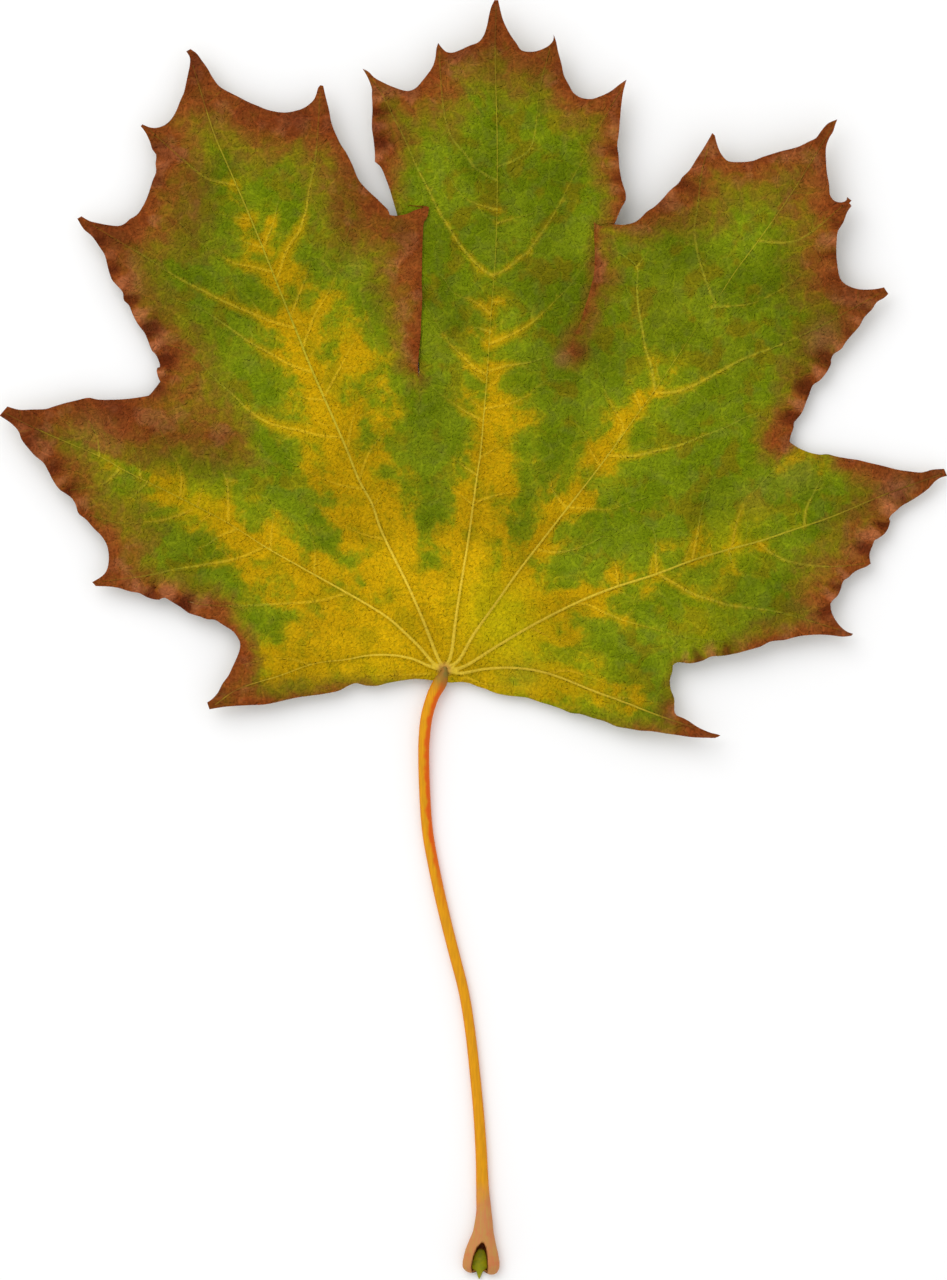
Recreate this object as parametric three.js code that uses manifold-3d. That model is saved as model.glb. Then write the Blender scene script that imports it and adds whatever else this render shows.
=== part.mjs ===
// A fallen Norway maple leaf lying face up: the blade with its seven main ribs, and the leaf stalk.
// Millimetres, +Z up. The shape is drawn with the point where the ribs meet as its own zero and the
// central lobe towards +Y, and the finished leaf is then moved so that the frame's origin is at the
// middle of the bottom of its bounding box, on the surface that it lies on.
import * as THREE from "three";
import { mergeVertices } from "three/addons/utils/BufferGeometryUtils.js";
import Module from "manifold-3d";

const LAMINA_THICKNESS = 0.3;
const MARGIN_STEP = 1.9; // spacing of the points along the margin
const SHEET_CELL = 5.2; // size of the facets inside the margin
const RIB_SIDES = 6;
const RIB_STEP = 6;
const RIB_RADIUS_AT_STALK = 0.7;
const RIB_RADIUS_AT_TIP = 0.25;
const RIB_REACH = 0.93; // share of the way to the lobe's tip
const RIB_COVER = 0.1; // lamina left over the top of a rib
const STALK_SIDES = 10;
const STALK_STEP = 2.6;
const JOINT_HEIGHT = 2.3; // of the stalk's axis where it meets the blade

// The margin, clockwise from the stalk, one list a lobe. Each run starts at a sharp corner, curves
// smoothly through its points and ends at the corner where the next run starts.
const LEFT_BASAL_LOBE = [
  [[-1.7, -0.6], [-2.4, -1.8], [-5, -1.6], [-8, -1.9], [-12, -2.75], [-15, -2.3], [-18, -3.5]
    , [-25, -4.7], [-31, -6], [-37.5, -6.3]],
  [[-39.8, -6.7]],
  [[-40.1, -5.7], [-38.2, -3.9], [-35.8, 0]],
];
const LEFT_SIDE_LOBE = [
  [[-34.4, 4.6], [-34.7, 5.7]],
  [[-35.5, 7], [-37.5, 8], [-40.2, 8.5], [-43.6, 9.8], [-45, 10.9]],
  [[-47.3, 12.1], [-48.4, 11.8], [-50, 12.3], [-52, 13.1], [-55, 13.8]],
  [[-58.8, 14.1]],
  [[-59.4, 14.8], [-57.6, 15.9], [-56.7, 18.4], [-57.4, 22], [-60, 25]],
  [[-61.7, 26.4], [-62.6, 28.6], [-64.4, 30.2], [-66.2, 32.8], [-67.5, 35], [-70.3, 37.7], [-71.8, 40.4]],
  [[-75, 43]],
  [[-73.8, 44.4], [-72, 43.9], [-67.3, 44.1], [-60, 45.9], [-55, 45.6]],
];
const UPPER_LEFT_LOBE = [
  [[-49.7, 46.2]],
  [[-48, 48.5], [-48.5, 49.4]],
  [[-48.5, 51]],
  [[-48, 51.2], [-49.3, 54], [-50.5, 57], [-52.6, 60]],
  [[-54, 62.3], [-54.1, 63.4], [-55.8, 65.4], [-56.7, 68.5], [-58.2, 71.6]],
  [[-61.9, 76.1]],
  [[-61.2, 76.6], [-58, 75.2], [-54.3, 75.1], [-51.8, 77], [-49.9, 80.5], [-48.6, 84.2]],
  [[-48.5, 87], [-49.8, 89]],
  [[-51.2, 91.9], [-48.6, 91.4], [-46, 92.9], [-44.3, 96.2], [-43.2, 100.3]],
  [[-43.4, 104.3]],
  [[-42.8, 104.7], [-41, 102.8], [-38.5, 99], [-34.5, 96.5], [-30, 94.6], [-26, 94.1], [-22.5, 95.6]],
  [[-21, 98.6]],
  [[-20.4, 98.4], [-19.6, 94], [-18.4, 90.5], [-15.7, 85.4], [-12.9, 80.7]],
  [[-9.1, 76.7], [-7, 76.9]],
  [[-2.6, 78.4]],
  [[-3.1, 76.2], [-3.6, 72], [-3.8, 65], [-4, 57], [-4.35, 52.5], [-4.4, 51]],
];
const CENTRAL_LOBE = [
  [[-4.3, 49.5], [-4.2, 51], [-4.6, 53.5], [-5, 57], [-5.9, 65], [-6.9, 72], [-8, 76.7], [-9.8, 82]],
  [[-11.8, 85.9], [-12.1, 90.5], [-12.2, 97]],
  [[-13.9, 101.3], [-11.4, 99.8], [-7.5, 97.9], [-5, 98], [-2.5, 101]],
  [[-1.1, 105.7], [-0.2, 104.5], [1.5, 104.1], [5, 105.6], [7, 108.2]],
  [[8.4, 112.9]],
  [[8.9, 112.9], [10, 109.2], [12.2, 105.6]],
  [[13, 104.5], [15.8, 104.2], [17.9, 105.3]],
  [[18.5, 107], [19.4, 103.2], [21.2, 98.2], [23.3, 96.4], [26, 96.4], [29, 98.4]],
  [[30.8, 99.5], [29.9, 95.5], [29.3, 89], [29.6, 84.5]],
  [[30.6, 79.2], [29.3, 76.5], [28.7, 75.2], [27.2, 70], [25.2, 64], [22.9, 58], [21.8, 56], [21.45, 55]],
];
const UPPER_RIGHT_LOBE = [
  [[21.5, 53.8], [21.65, 55.2], [22.5, 57], [23.7, 60], [24.8, 64.5], [25.4, 70]],
  [[25.2, 75.3], [28.5, 74.8], [31.8, 75.3], [35.5, 78]],
  [[37.5, 80.3], [40.3, 83.2], [42.5, 86]],
  [[45.2, 90.5]],
  [[45.7, 90], [46.8, 86.7], [49.5, 85.7], [54.5, 86.8], [60, 88.4]],
  [[62.7, 89.7], [64.6, 92]],
  [[66.4, 92.8], [65.1, 90], [64.3, 86.8], [64.8, 82], [65.5, 79.3], [67.4, 78.8]],
  [[68, 79.8], [68.9, 79]],
  [[68.3, 78], [66.4, 73.8], [66.1, 71], [66.4, 67], [68, 64.8], [72, 64.2]],
  [[74.3, 64.5]],
  [[74.9, 63.4], [73, 61.9], [70.2, 58.3]],
  [[67.6, 54.8], [65.5, 52.7]],
  [[65.2, 51.4], [63.4, 48.9]],
  [[62.1, 47.9], [61, 45], [59.3, 42]],
];
const RIGHT_SIDE_LOBE = [
  [[58.3, 38.3], [60.5, 37.2], [63.8, 36.4], [69, 35.6], [75, 34.1], [80.6, 33.3]],
  [[84.6, 33.9]],
  [[84.85, 32.6], [82.3, 31.2], [79, 28.8], [77, 27.6]],
  [[75.2, 25.5], [75.3, 24.8], [74, 22.6]],
  [[72.5, 21.7], [71.8, 19.4]],
  [[72, 18.1], [69.3, 16.7]],
  [[67.4, 14.9], [66.6, 12.8]],
  [[65.2, 11], [65.5, 9.2], [67.3, 7]],
  [[69.1, 6], [67.2, 5.6], [61, 5.8], [57, 5]],
  [[54.6, 4.5], [50, 2.8], [45, 2.2], [41, 1.1]],
];
const RIGHT_BASAL_LOBE = [
  [[38.8, 1], [38.1, -1.8], [38.9, -5]],
  [[39, -7.3], [42, -9.3]],
  [[46.7, -11.1], [44.5, -11.6], [38, -10.9], [30, -9.9], [25.5, -8.3], [20, -6.8], [14.5, -4.9], [9, -4.1]
    , [5, -2.7], [2.6, -2.1], [1.8, -1.6]],
  [[1.6, -0.6]],
];

// The main ribs, each from the stalk to its lobe's tip.
const RIBS = {
  leftBasal: [[-1.3, 0.5], [-6, 1.9], [-12, 2.4], [-20, 1.3], [-29, -1.5], [-39.8, -6.2]],
  leftSide: [[-1, 0.9], [-6, 6], [-11, 9.9], [-30, 20.7], [-50, 32], [-65, 39], [-74.2, 43.6]],
  upperLeft: [[-0.5, 1.2], [-6.8, 15.9], [-14.6, 32.4], [-25, 57], [-35, 81], [-43, 104.4]],
  central: [[0.4, 1.2], [3.9, 21.4], [6.6, 41.9], [8.3, 65], [9, 90], [8.6, 112.9]],
  upperRight: [[1, 0.9], [12.3, 16.2], [32.1, 41.9], [49, 67.5], [59.3, 80.8], [66.2, 92.7]],
  rightSide: [[1.3, 0.4], [14.9, 7.4], [33, 15], [53.2, 21.4], [70, 28], [84.7, 33.3]],
  rightBasal: [[1.4, 0.1], [8, 0.5], [16, -0.6], [28, -5], [36, -8.6], [46.5, -11.1]],
};

// The inner edge of each upper lobe lies over the edge of the central lobe. The blade is cut as a flat
// sheet whose lobes are apart, and each flap is then drawn across: a point slides inwards by SLIDE_SLOPE
// for each millimetre above the root of the slit, less and less with its distance from the flap's edge.
const FLAPS = {
  left: { rootY: 49.5, edgeX: -3, inwards: 1, slope: 0.22 },
  right: { rootY: 54, edgeX: 25.3, inwards: -1, slope: 0.2 },
};
const SLIDE_REACH = 22;
const SLIDE_RISE = 30; // the slide stops growing this far above the slit's root
const FLAP_LIFT = 0.9;
const FLAP_RAMP = 3; // the lift is complete this far above the slit's root
// Lines through the flat sheet's slits: the upper left lobe is left of the first, the upper right
// lobe is right of the second. Each is a list of [y, x].
const LEFT_SLIT = [[49.5, -4.33], [57, -5.3], [65, -6.5], [72, -7.7], [78.4, -8.85], [81, -12]
  , [100, -16]];
const RIGHT_SLIT = [[54, 21.65], [57, 22.9], [60, 24.3], [64.5, 26.2], [70, 27.9], [75.3, 29.15]
  , [77, 31], [100, 33]];

// Long waves in the blade: [height, wavelength, direction in degrees, phase in degrees].
const WAVES = [[0.9, 118, 12, 205], [0.8, 92, 78, 20], [0.6, 61, 131, 250]];
const WAVE_LEVEL = 2.1;
const LOWEST_LAMINA = 0.95; // the underside near the surface, which the ribs reach
const TOUCHDOWN = 0.5; // how gradually the waves level out there
const TIP_CURL = 2.2; // rise of the margin at CURL_RADIUS from the stalk
const CURL_RADIUS = 110;

// The stalk's axis from the blade to its foot. It lies on the surface from RESTS_FROM on.
const STALK_AXIS = [[-0.1, -1], [-0.8, -2.4], [-1.9, -5], [-2.9, -7.8], [-3.4, -11], [-3.5, -15.5]
  , [-3.3, -22], [-2.4, -30.8], [-0.2, -40.9], [2.4, -51], [4.3, -61.2], [5.4, -71.3], [6.15, -81.5]
  , [6.5, -90], [6.35, -96], [6.2, -101.6]];
const RESTS_FROM = 0.3;
// Half width and half height along the stalk: [share of its length, half width, half height].
const STALK_SIZES = [[0, 1.1, 0.95], [0.1, 0.95, 0.9], [0.5, 0.9, 0.88], [0.8, 0.97, 0.92]
  , [0.88, 1.2, 1.05], [0.935, 1.85, 1.35], [0.972, 2.8, 1.55], [1, 2.6, 1.4]];
// Plans of the hollow in the foot and of the tongue of tissue left in it.
const FOOT_HOLLOW = [[6.4, -96.5], [7, -97.7], [7.3, -99.1], [7.4, -100.9], [7.4, -104], [4.5, -104]
  , [4.5, -100.8], [4.9, -98.9], [5.4, -97.7]];
const FOOT_TONGUE = [[4.6, -100], [7.3, -100], [7.3, -101.2], [6.4, -101.9], [6.2, -102.7]
  , [6.05, -102.9], [5.75, -102.9], [5.6, -102.7], [5.5, -101.9], [4.6, -101.2]];
const FOOT_FLOOR = 0.9; // thickness of the tissue under the hollow

const { min, max, cos, sin, hypot, sqrt, PI } = Math;
const clamp01 = (v) => min(1, max(0, v));
const smooth01 = (v) => THREE.MathUtils.smoothstep(v, 0, 1);

const wasm = await Module();
wasm.setup();

function toSolid(geometry) {
  const bare = geometry.clone();
  bare.deleteAttribute("normal");
  bare.deleteAttribute("uv");
  const merged = mergeVertices(bare, 1e-4);
  return new wasm.Manifold(new wasm.Mesh({
    numProp: 3,
    vertProperties: merged.attributes.position.array,
    triVerts: new Uint32Array(merged.index.array),
  }));
}

function toGeometry(solid) {
  const { numProp, vertProperties, triVerts } = solid.getMesh();
  const positions = new Float32Array((vertProperties.length / numProp) * 3);
  for (let i = 0; i < positions.length / 3; i++) {
    positions.set(vertProperties.subarray(i * numProp, i * numProp + 3), i * 3);
  }
  const geometry = new THREE.BufferGeometry();
  geometry.setAttribute("position", new THREE.BufferAttribute(positions, 3));
  geometry.setIndex(new THREE.BufferAttribute(new Uint32Array(triVerts), 1));
  return geometry;
}

// Moves every vertex of a geometry to move(x, y, z).
function reshape(geometry, move) {
  const p = geometry.attributes.position;
  for (let i = 0; i < p.count; i++) p.setXYZ(i, ...move(p.getX(i), p.getY(i), p.getZ(i)));
  return geometry;
}

// Straight-line interpolation in a table whose rows start with the key.
function lookUp(table, key) {
  const i = table.findIndex((row) => row[0] >= key);
  if (i < 0) return table.at(-1).slice(1);
  if (i === 0) return table[0].slice(1);
  const [low, high] = [table[i - 1], table[i]];
  const share = (key - low[0]) / (high[0] - low[0]);
  return low.slice(1).map((v, k) => v + share * (high[k + 1] - v));
}

function slideAt(flap, y) {
  return flap.slope * min(max(y - flap.rootY, 0), SLIDE_RISE);
}

// From the leaf as it lies to the flat sheet with its lobes apart.
function flatten(flap, [x, y]) {
  const inboard = flap.inwards * (flap.edgeX - x);
  return [x - flap.inwards * slideAt(flap, y) * clamp01(1 - inboard / SLIDE_REACH), y];
}

// From the flat sheet to the leaf as it lies.
function drawAcross(flap, x, y) {
  const slide = slideAt(flap, y);
  const flat = flap.inwards * (flap.edgeX - x);
  const inboard = flat < slide ? flat - slide : min(flat, (flat - slide) / (1 - slide / SLIDE_REACH));
  return flap.edgeX - flap.inwards * inboard;
}

function flapLift(flap, x, y) {
  const inboard = flap.inwards * (flap.edgeX - x);
  return FLAP_LIFT * smooth01((y - flap.rootY) / FLAP_RAMP) * (1 - smooth01(inboard / SLIDE_REACH));
}

function flapAt(x, y) {
  if (y > LEFT_SLIT[0][0] && x < lookUp(LEFT_SLIT, y)[0]) return FLAPS.left;
  if (y > RIGHT_SLIT[0][0] && x > lookUp(RIGHT_SLIT, y)[0]) return FLAPS.right;
  return null;
}

// Height of the lamina's underside above the surface.
function underside(x, y) {
  let height = WAVE_LEVEL - LOWEST_LAMINA;
  for (const [size, wavelength, direction, phase] of WAVES) {
    const [a, b] = [THREE.MathUtils.degToRad(direction), THREE.MathUtils.degToRad(phase)];
    height += size * cos((2 * PI * (x * cos(a) + y * sin(a))) / wavelength + b);
  }
  const levelled = (height + sqrt(height * height + TOUCHDOWN * TOUCHDOWN)) / 2;
  return LOWEST_LAMINA + levelled + TIP_CURL * (hypot(x, y) / CURL_RADIUS) ** 4;
}

function curveThrough(points) {
  const stops = points.map(([x, y, z = 0]) => new THREE.Vector3(x, y, z));
  return new THREE.CatmullRomCurve3(stops, false, "centripetal");
}

// The margin of the flat sheet as one closed shape.
function marginShape() {
  const lobes = [[LEFT_BASAL_LOBE], [LEFT_SIDE_LOBE], [UPPER_LEFT_LOBE, FLAPS.left], [CENTRAL_LOBE]
    , [UPPER_RIGHT_LOBE, FLAPS.right], [RIGHT_SIDE_LOBE], [RIGHT_BASAL_LOBE]];
  const runs = lobes.flatMap(([lobe, flap]) =>
    lobe.map((run) => (flap ? run.map((point) => flatten(flap, point)) : run)));
  const outline = runs.flatMap((run, i) => {
    const curve = curveThrough([...run, runs[(i + 1) % runs.length][0]]);
    const pieces = max(1, Math.round(curve.getLength() / MARGIN_STEP));
    return curve.getSpacedPoints(pieces).slice(0, -1);
  });
  return new THREE.Shape(outline.map((p) => new THREE.Vector2(p.x, p.y)));
}

// A tube along a curve. sizeAt(share) gives its half width and half height there.
function sweep(points, sides, step, sizeAt) {
  const path = curveThrough(points);
  const steps = Math.round(path.getLength() / step);
  const section = new THREE.Shape(Array.from({ length: sides }, (_, i) => {
    const angle = (i * 2 * PI) / sides;
    return new THREE.Vector2(cos(angle), sin(angle));
  }));
  const tube = new THREE.ExtrudeGeometry(section, { steps, extrudePath: path });
  const centres = path.getSpacedPoints(steps);
  const rings = centres.map((centre, i) => {
    const tangent = path.getTangentAt(i / steps);
    const side = new THREE.Vector3(tangent.y, -tangent.x, 0).normalize();
    return { centre, side, up: new THREE.Vector3().crossVectors(side, tangent), size: sizeAt(i / steps) };
  });
  return reshape(tube, (x, y, z) => {
    const vertex = new THREE.Vector3(x, y, z);
    const ring = rings.reduce((a, b) =>
      vertex.distanceToSquared(b.centre) < vertex.distanceToSquared(a.centre) ? b : a);
    const offset = vertex.sub(ring.centre);
    return ring.centre.clone()
      .addScaledVector(ring.side, offset.dot(ring.side) * ring.size[0])
      .addScaledVector(ring.up, offset.dot(ring.up) * ring.size[1])
      .toArray();
  });
}

function ribRadius(share) {
  return RIB_RADIUS_AT_STALK + (RIB_RADIUS_AT_TIP - RIB_RADIUS_AT_STALK) * sqrt(share);
}

// One rib of the flat sheet, under the lamina, which covers its top.
function makeRib(points) {
  const plan = curveThrough(points);
  const steps = Math.round((RIB_REACH * plan.getLength()) / RIB_STEP);
  const axis = Array.from({ length: steps + 1 }, (_, i) => {
    const { x, y } = plan.getPointAt((RIB_REACH * i) / steps);
    return [x, y, underside(x, y) + LAMINA_THICKNESS - RIB_COVER - ribRadius(i / steps)];
  });
  return toSolid(sweep(axis, RIB_SIDES, RIB_STEP, (share) => [ribRadius(share), ribRadius(share)]));
}

function makeBlade() {
  const shape = marginShape();
  const prism = new THREE.ExtrudeGeometry(shape, { depth: 60, bevelEnabled: false }).translate(0, 0, -20);
  prism.computeBoundingBox();
  const size = prism.boundingBox.getSize(new THREE.Vector3());
  const middle = prism.boundingBox.getCenter(new THREE.Vector3());
  const [width, length] = [size.x + SHEET_CELL, size.y + SHEET_CELL];
  const sheet = new THREE.BoxGeometry(width, length, LAMINA_THICKNESS
    , Math.round(width / SHEET_CELL), Math.round(length / SHEET_CELL), 1);
  sheet.translate(middle.x, middle.y, LAMINA_THICKNESS / 2);
  reshape(sheet, (x, y, z) => [x, y, z + underside(x, y)]);
  let blade = toSolid(sheet).intersect(toSolid(prism));
  for (const points of Object.values(RIBS)) blade = blade.add(makeRib(points));
  return reshape(toGeometry(blade), (x, y, z) => {
    const flap = flapAt(x, y);
    const across = flap ? drawAcross(flap, x, y) : x;
    const lift = flap ? flapLift(flap, across, y) : 0;
    return [across, y, max(0, z + lift)];
  });
}

function makeStalk() {
  const bottomFacet = cos(PI / STALK_SIDES); // distance of a facet from the axis, for a unit radius
  const plan = curveThrough(STALK_AXIS);
  const steps = Math.round(plan.getLength() / STALK_STEP);
  const axis = Array.from({ length: steps + 1 }, (_, i) => {
    const share = i / steps;
    const { x, y } = plan.getPointAt(share);
    const resting = bottomFacet * lookUp(STALK_SIZES, share)[1];
    return [x, y, resting + (JOINT_HEIGHT - resting) * (1 - smooth01(share / RESTS_FROM))];
  });
  const tube = toSolid(sweep(axis, STALK_SIDES, STALK_STEP, (share) => lookUp(STALK_SIZES, share)));
  const prismOf = (outline, from, to) => {
    const plan = new THREE.Shape(outline.map(([x, y]) => new THREE.Vector2(x, y)));
    const prism = new THREE.ExtrudeGeometry(plan, { depth: to - from, bevelEnabled: false });
    return toSolid(prism.translate(0, 0, from));
  };
  const foot = tube
    .subtract(prismOf(FOOT_HOLLOW, FOOT_FLOOR, 10))
    .add(prismOf(FOOT_TONGUE, 0, FOOT_FLOOR));
  return reshape(toGeometry(foot), (x, y, z) => [x, y, max(0, z)]);
}

function part(name, geometry, color, roughness) {
  geometry.computeVertexNormals();
  const mesh = new THREE.Mesh(geometry, new THREE.MeshStandardMaterial({ color, roughness, metalness: 0 }));
  mesh.name = name;
  return mesh;
}

const leaf = new THREE.Group();
leaf.add(part("blade", makeBlade(), 0x7d7a12, 0.55));
leaf.add(part("stalk", makeStalk(), 0xdf9414, 0.5));

const box = new THREE.Box3().setFromObject(leaf);
const middle = box.getCenter(new THREE.Vector3());
leaf.position.set(-middle.x, -middle.y, -box.min.z);

export default leaf;
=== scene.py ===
"""A fallen Norway maple leaf, half green and half turned, lying face up on a pale floor.

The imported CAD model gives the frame, the box and the two organs: the blade and the stalk. Both are
replaced here by finer pieces of the same outline. Plans are drawn in millimetres from the point where
the ribs meet, with the central lobe towards +Y, and are moved into the frame at the end.
"""
import math

import bpy
import numpy as np
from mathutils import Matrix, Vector, noise
from mathutils.geometry import delaunay_2d_cdt
from mathutils.kdtree import KDTree


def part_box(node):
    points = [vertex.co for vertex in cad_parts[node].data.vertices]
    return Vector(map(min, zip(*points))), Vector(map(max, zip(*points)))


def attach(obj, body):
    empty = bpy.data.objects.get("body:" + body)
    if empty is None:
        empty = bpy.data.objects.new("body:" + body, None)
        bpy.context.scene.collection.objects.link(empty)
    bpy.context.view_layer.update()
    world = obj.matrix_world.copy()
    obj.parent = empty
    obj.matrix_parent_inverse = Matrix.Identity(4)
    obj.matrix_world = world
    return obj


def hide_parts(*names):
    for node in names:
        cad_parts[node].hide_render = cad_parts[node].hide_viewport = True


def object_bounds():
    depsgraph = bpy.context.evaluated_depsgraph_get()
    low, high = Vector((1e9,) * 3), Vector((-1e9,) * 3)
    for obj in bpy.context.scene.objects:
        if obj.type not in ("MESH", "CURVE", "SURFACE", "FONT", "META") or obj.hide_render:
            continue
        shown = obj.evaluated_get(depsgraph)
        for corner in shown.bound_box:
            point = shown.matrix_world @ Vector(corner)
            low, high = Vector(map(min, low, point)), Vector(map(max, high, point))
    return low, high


MM = 0.001

# ---- Plan of the blade, in millimetres
# The margin runs clockwise from the left of the stalk. Each run starts at a sharp corner and curves
# smoothly through its points to the corner that starts the next.
LEFT_BASAL_MARGIN = [
    [(-0.9, -1.7), (-1.9, -1.85), (-2.9, -1.7), (-5, -1.6), (-7.5, -1.9), (-10, -2.4), (-11.35, -2.75),
     (-13.2, -2.7), (-14.9, -2.3), (-16.25, -2.75), (-17.6, -3.5), (-20, -4.05), (-25, -4.75), (-30, -5.85),
     (-32.8, -6), (-36.2, -6.2), (-37.9, -6.4)],
    [(-39.6, -6.7)],
    [(-40, -5.55), (-39.2, -5), (-38.2, -3.9), (-37.4, -2.35), (-36.4, -1), (-35.7, 0.5), (-34.65, 2.9),
     (-34.4, 4.25)],
]
LEFT_SIDE_MARGIN = [
    [(-34.5, 4.75), (-35, 5.7), (-35.7, 6.5), (-37.4, 7.6), (-38.7, 8.4), (-40, 8.5), (-41.2, 8.95),
     (-43.2, 9.6), (-44.4, 10.5), (-45.9, 11.4), (-47.3, 12.15), (-48.1, 11.8), (-50, 12.15), (-51.4, 12.9),
     (-53.1, 13.2), (-54.8, 13.75), (-56.45, 14)],
    [(-58.8, 14.1)],
    [(-59.4, 14.75), (-57.6, 15.9), (-56.9, 16.9), (-56.6, 18.9), (-56.9, 20.95), (-57.8, 22.5),
     (-59.1, 23.8), (-60.5, 25.4), (-61.7, 26.35), (-62.2, 27.9), (-62.9, 29), (-64.2, 29.9),
     (-64.9, 30.4), (-65.9, 31.75), (-66.75, 33.4), (-67.6, 34.9), (-68.95, 36), (-70, 37.15),
     (-71.3, 38.85), (-71.8, 40.2), (-73, 41.5)],
    [(-75, 42.85)],
    [(-73.7, 44.4), (-71.65, 43.85), (-69.6, 43.9), (-67.1, 44), (-65.9, 44.4), (-63.9, 45),
     (-61.8, 45.5), (-60, 45.9), (-58.5, 45.6), (-55.1, 45.6), (-52.7, 45.8)],
]
UPPER_LEFT_MARGIN = [
    [(-49.9, 46.25), (-49.35, 46.8)],
    [(-47.95, 48.6), (-48.4, 49.7), (-48.5, 50.9), (-48, 51.1), (-48.1, 51.9), (-48.7, 53.2),
     (-49.3, 53.8), (-50, 55.5), (-50.5, 56.7), (-51.7, 58.3), (-52.6, 60), (-53.2, 61.5), (-54.1, 62.4),
     (-54.2, 63.6), (-55.1, 64.7), (-56, 65.7), (-56.6, 67.3), (-57.3, 70), (-58, 71.1), (-59.5, 73.2),
     (-60.8, 74.3)],
    [(-61.9, 76.1)],
    [(-61.2, 76.5), (-59.8, 75.7), (-58.1, 75.3), (-56.5, 75), (-54.8, 74.9), (-53.7, 75.4),
     (-53.1, 76), (-51.9, 76.7), (-50.9, 78.1), (-50, 80), (-49.2, 82.5), (-48.6, 84), (-48.7, 85.3),
     (-48.6, 86.9), (-49.2, 87.7), (-49.7, 89.2), (-50.5, 90.8)],
    [(-51.2, 91.7)],
    [(-50.9, 92), (-49.7, 91.5), (-48.7, 91.4), (-47.3, 91.8), (-46.1, 92.8), (-45.1, 94.5),
     (-44.6, 95.8), (-43.9, 97.4), (-43.6, 98.7), (-43.2, 100.6), (-42.9, 102.1), (-42.9, 103.3)],
    [(-43.5, 104.3)],
    [(-42.8, 104.7), (-41.8, 104), (-40.9, 102.8), (-39.9, 101.4), (-39.05, 99.9), (-37.9, 98.4),
     (-36.4, 97.5), (-34.8, 96.7), (-33.1, 95.8), (-31.4, 95.1), (-29.6, 94.4), (-27, 94), (-25, 94.3),
     (-23.6, 94.8), (-22.1, 96), (-21.6, 97), (-21.2, 98.3)],
    [(-20.9, 98.6)],
    [(-20.4, 98.5), (-20, 96.7), (-19.4, 94.3), (-19, 92.2), (-18.4, 90.6), (-17.4, 88.5), (-16.7, 87.5),
     (-15.5, 85.2), (-14.4, 82.6), (-12.8, 80.8), (-10.8, 78.9), (-9.5, 77.6)],
    [(-9.15, 76.7), (-7.95, 76.6), (-6.3, 76.9), (-4.8, 77.6), (-3.75, 77.9)],
    [(-2.5, 78.5), (-2.6, 77.6), (-2.9, 76.2), (-3.35, 75.7), (-3.6, 73.35), (-3.7, 70.3), (-3.75, 67.6),
     (-3.8, 65.5), (-3.7, 62.5), (-3.9, 58.8), (-3.95, 56.8), (-4.1, 55.1), (-4.35, 52.5), (-4.4, 51)],
]
CENTRAL_MARGIN = [
    [(-4.3, 49.5), (-4.2, 51), (-4.6, 53.5), (-5, 57), (-5.9, 65), (-6.9, 72), (-7.9, 76.6), (-8.5, 78.7),
     (-9.2, 81.1), (-9.9, 83), (-10.7, 84.8)],
    [(-11.7, 85.7), (-11.7, 87.2), (-11.9, 89.3), (-12.2, 91.5), (-12.1, 94.7), (-12.2, 97),
     (-12.2, 98), (-13, 100.1)],
    [(-13.75, 101.35), (-12.8, 100.9), (-11.8, 99.9), (-10, 98.9), (-8.1, 98.1), (-6.1, 97.6), (-4.8, 98.1),
     (-3.9, 99.05), (-3.05, 100.1), (-2, 101.6), (-1.5, 103.1), (-1.3, 104.8)],
    [(-1, 105.7), (-0.5, 105), (0.35, 104.2), (1.35, 104.05), (2.7, 104.5), (4.2, 105.2), (5.75, 105.8),
     (6.6, 106.8), (7.2, 108.5), (7.6, 110.5), (8, 111.9)],
    [(8.5, 112.9)],
    [(9.1, 112.9), (9.4, 111.55), (9.95, 109.5), (11.1, 107.15), (12.2, 105.6), (13, 104.45),
     (14.9, 104.2), (16.2, 104.5), (17.6, 105.2), (18.4, 106.15)],
    [(18.45, 107.1), (18.85, 106), (19.25, 104.1), (19.8, 102.1), (20.2, 100.2), (21, 98.7),
     (21.8, 97.3), (23, 96.5), (24.8, 96.25), (26.3, 96.7), (28, 97.5), (29.7, 98.8)],
    [(30.75, 99.5), (30.2, 97.4), (29.9, 95.3), (29.65, 92.6), (29.4, 89.9), (29.2, 88.6), (29.45, 86.5),
     (29.55, 84.8), (29.7, 83.8), (30.05, 82.15), (30.6, 80.45), (30.6, 79.1), (30, 78.1), (29.4, 76.7),
     (28.7, 75), (27.2, 70), (25.3, 64), (23.2, 58), (22.2, 56), (21.7, 55)],
]
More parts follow.
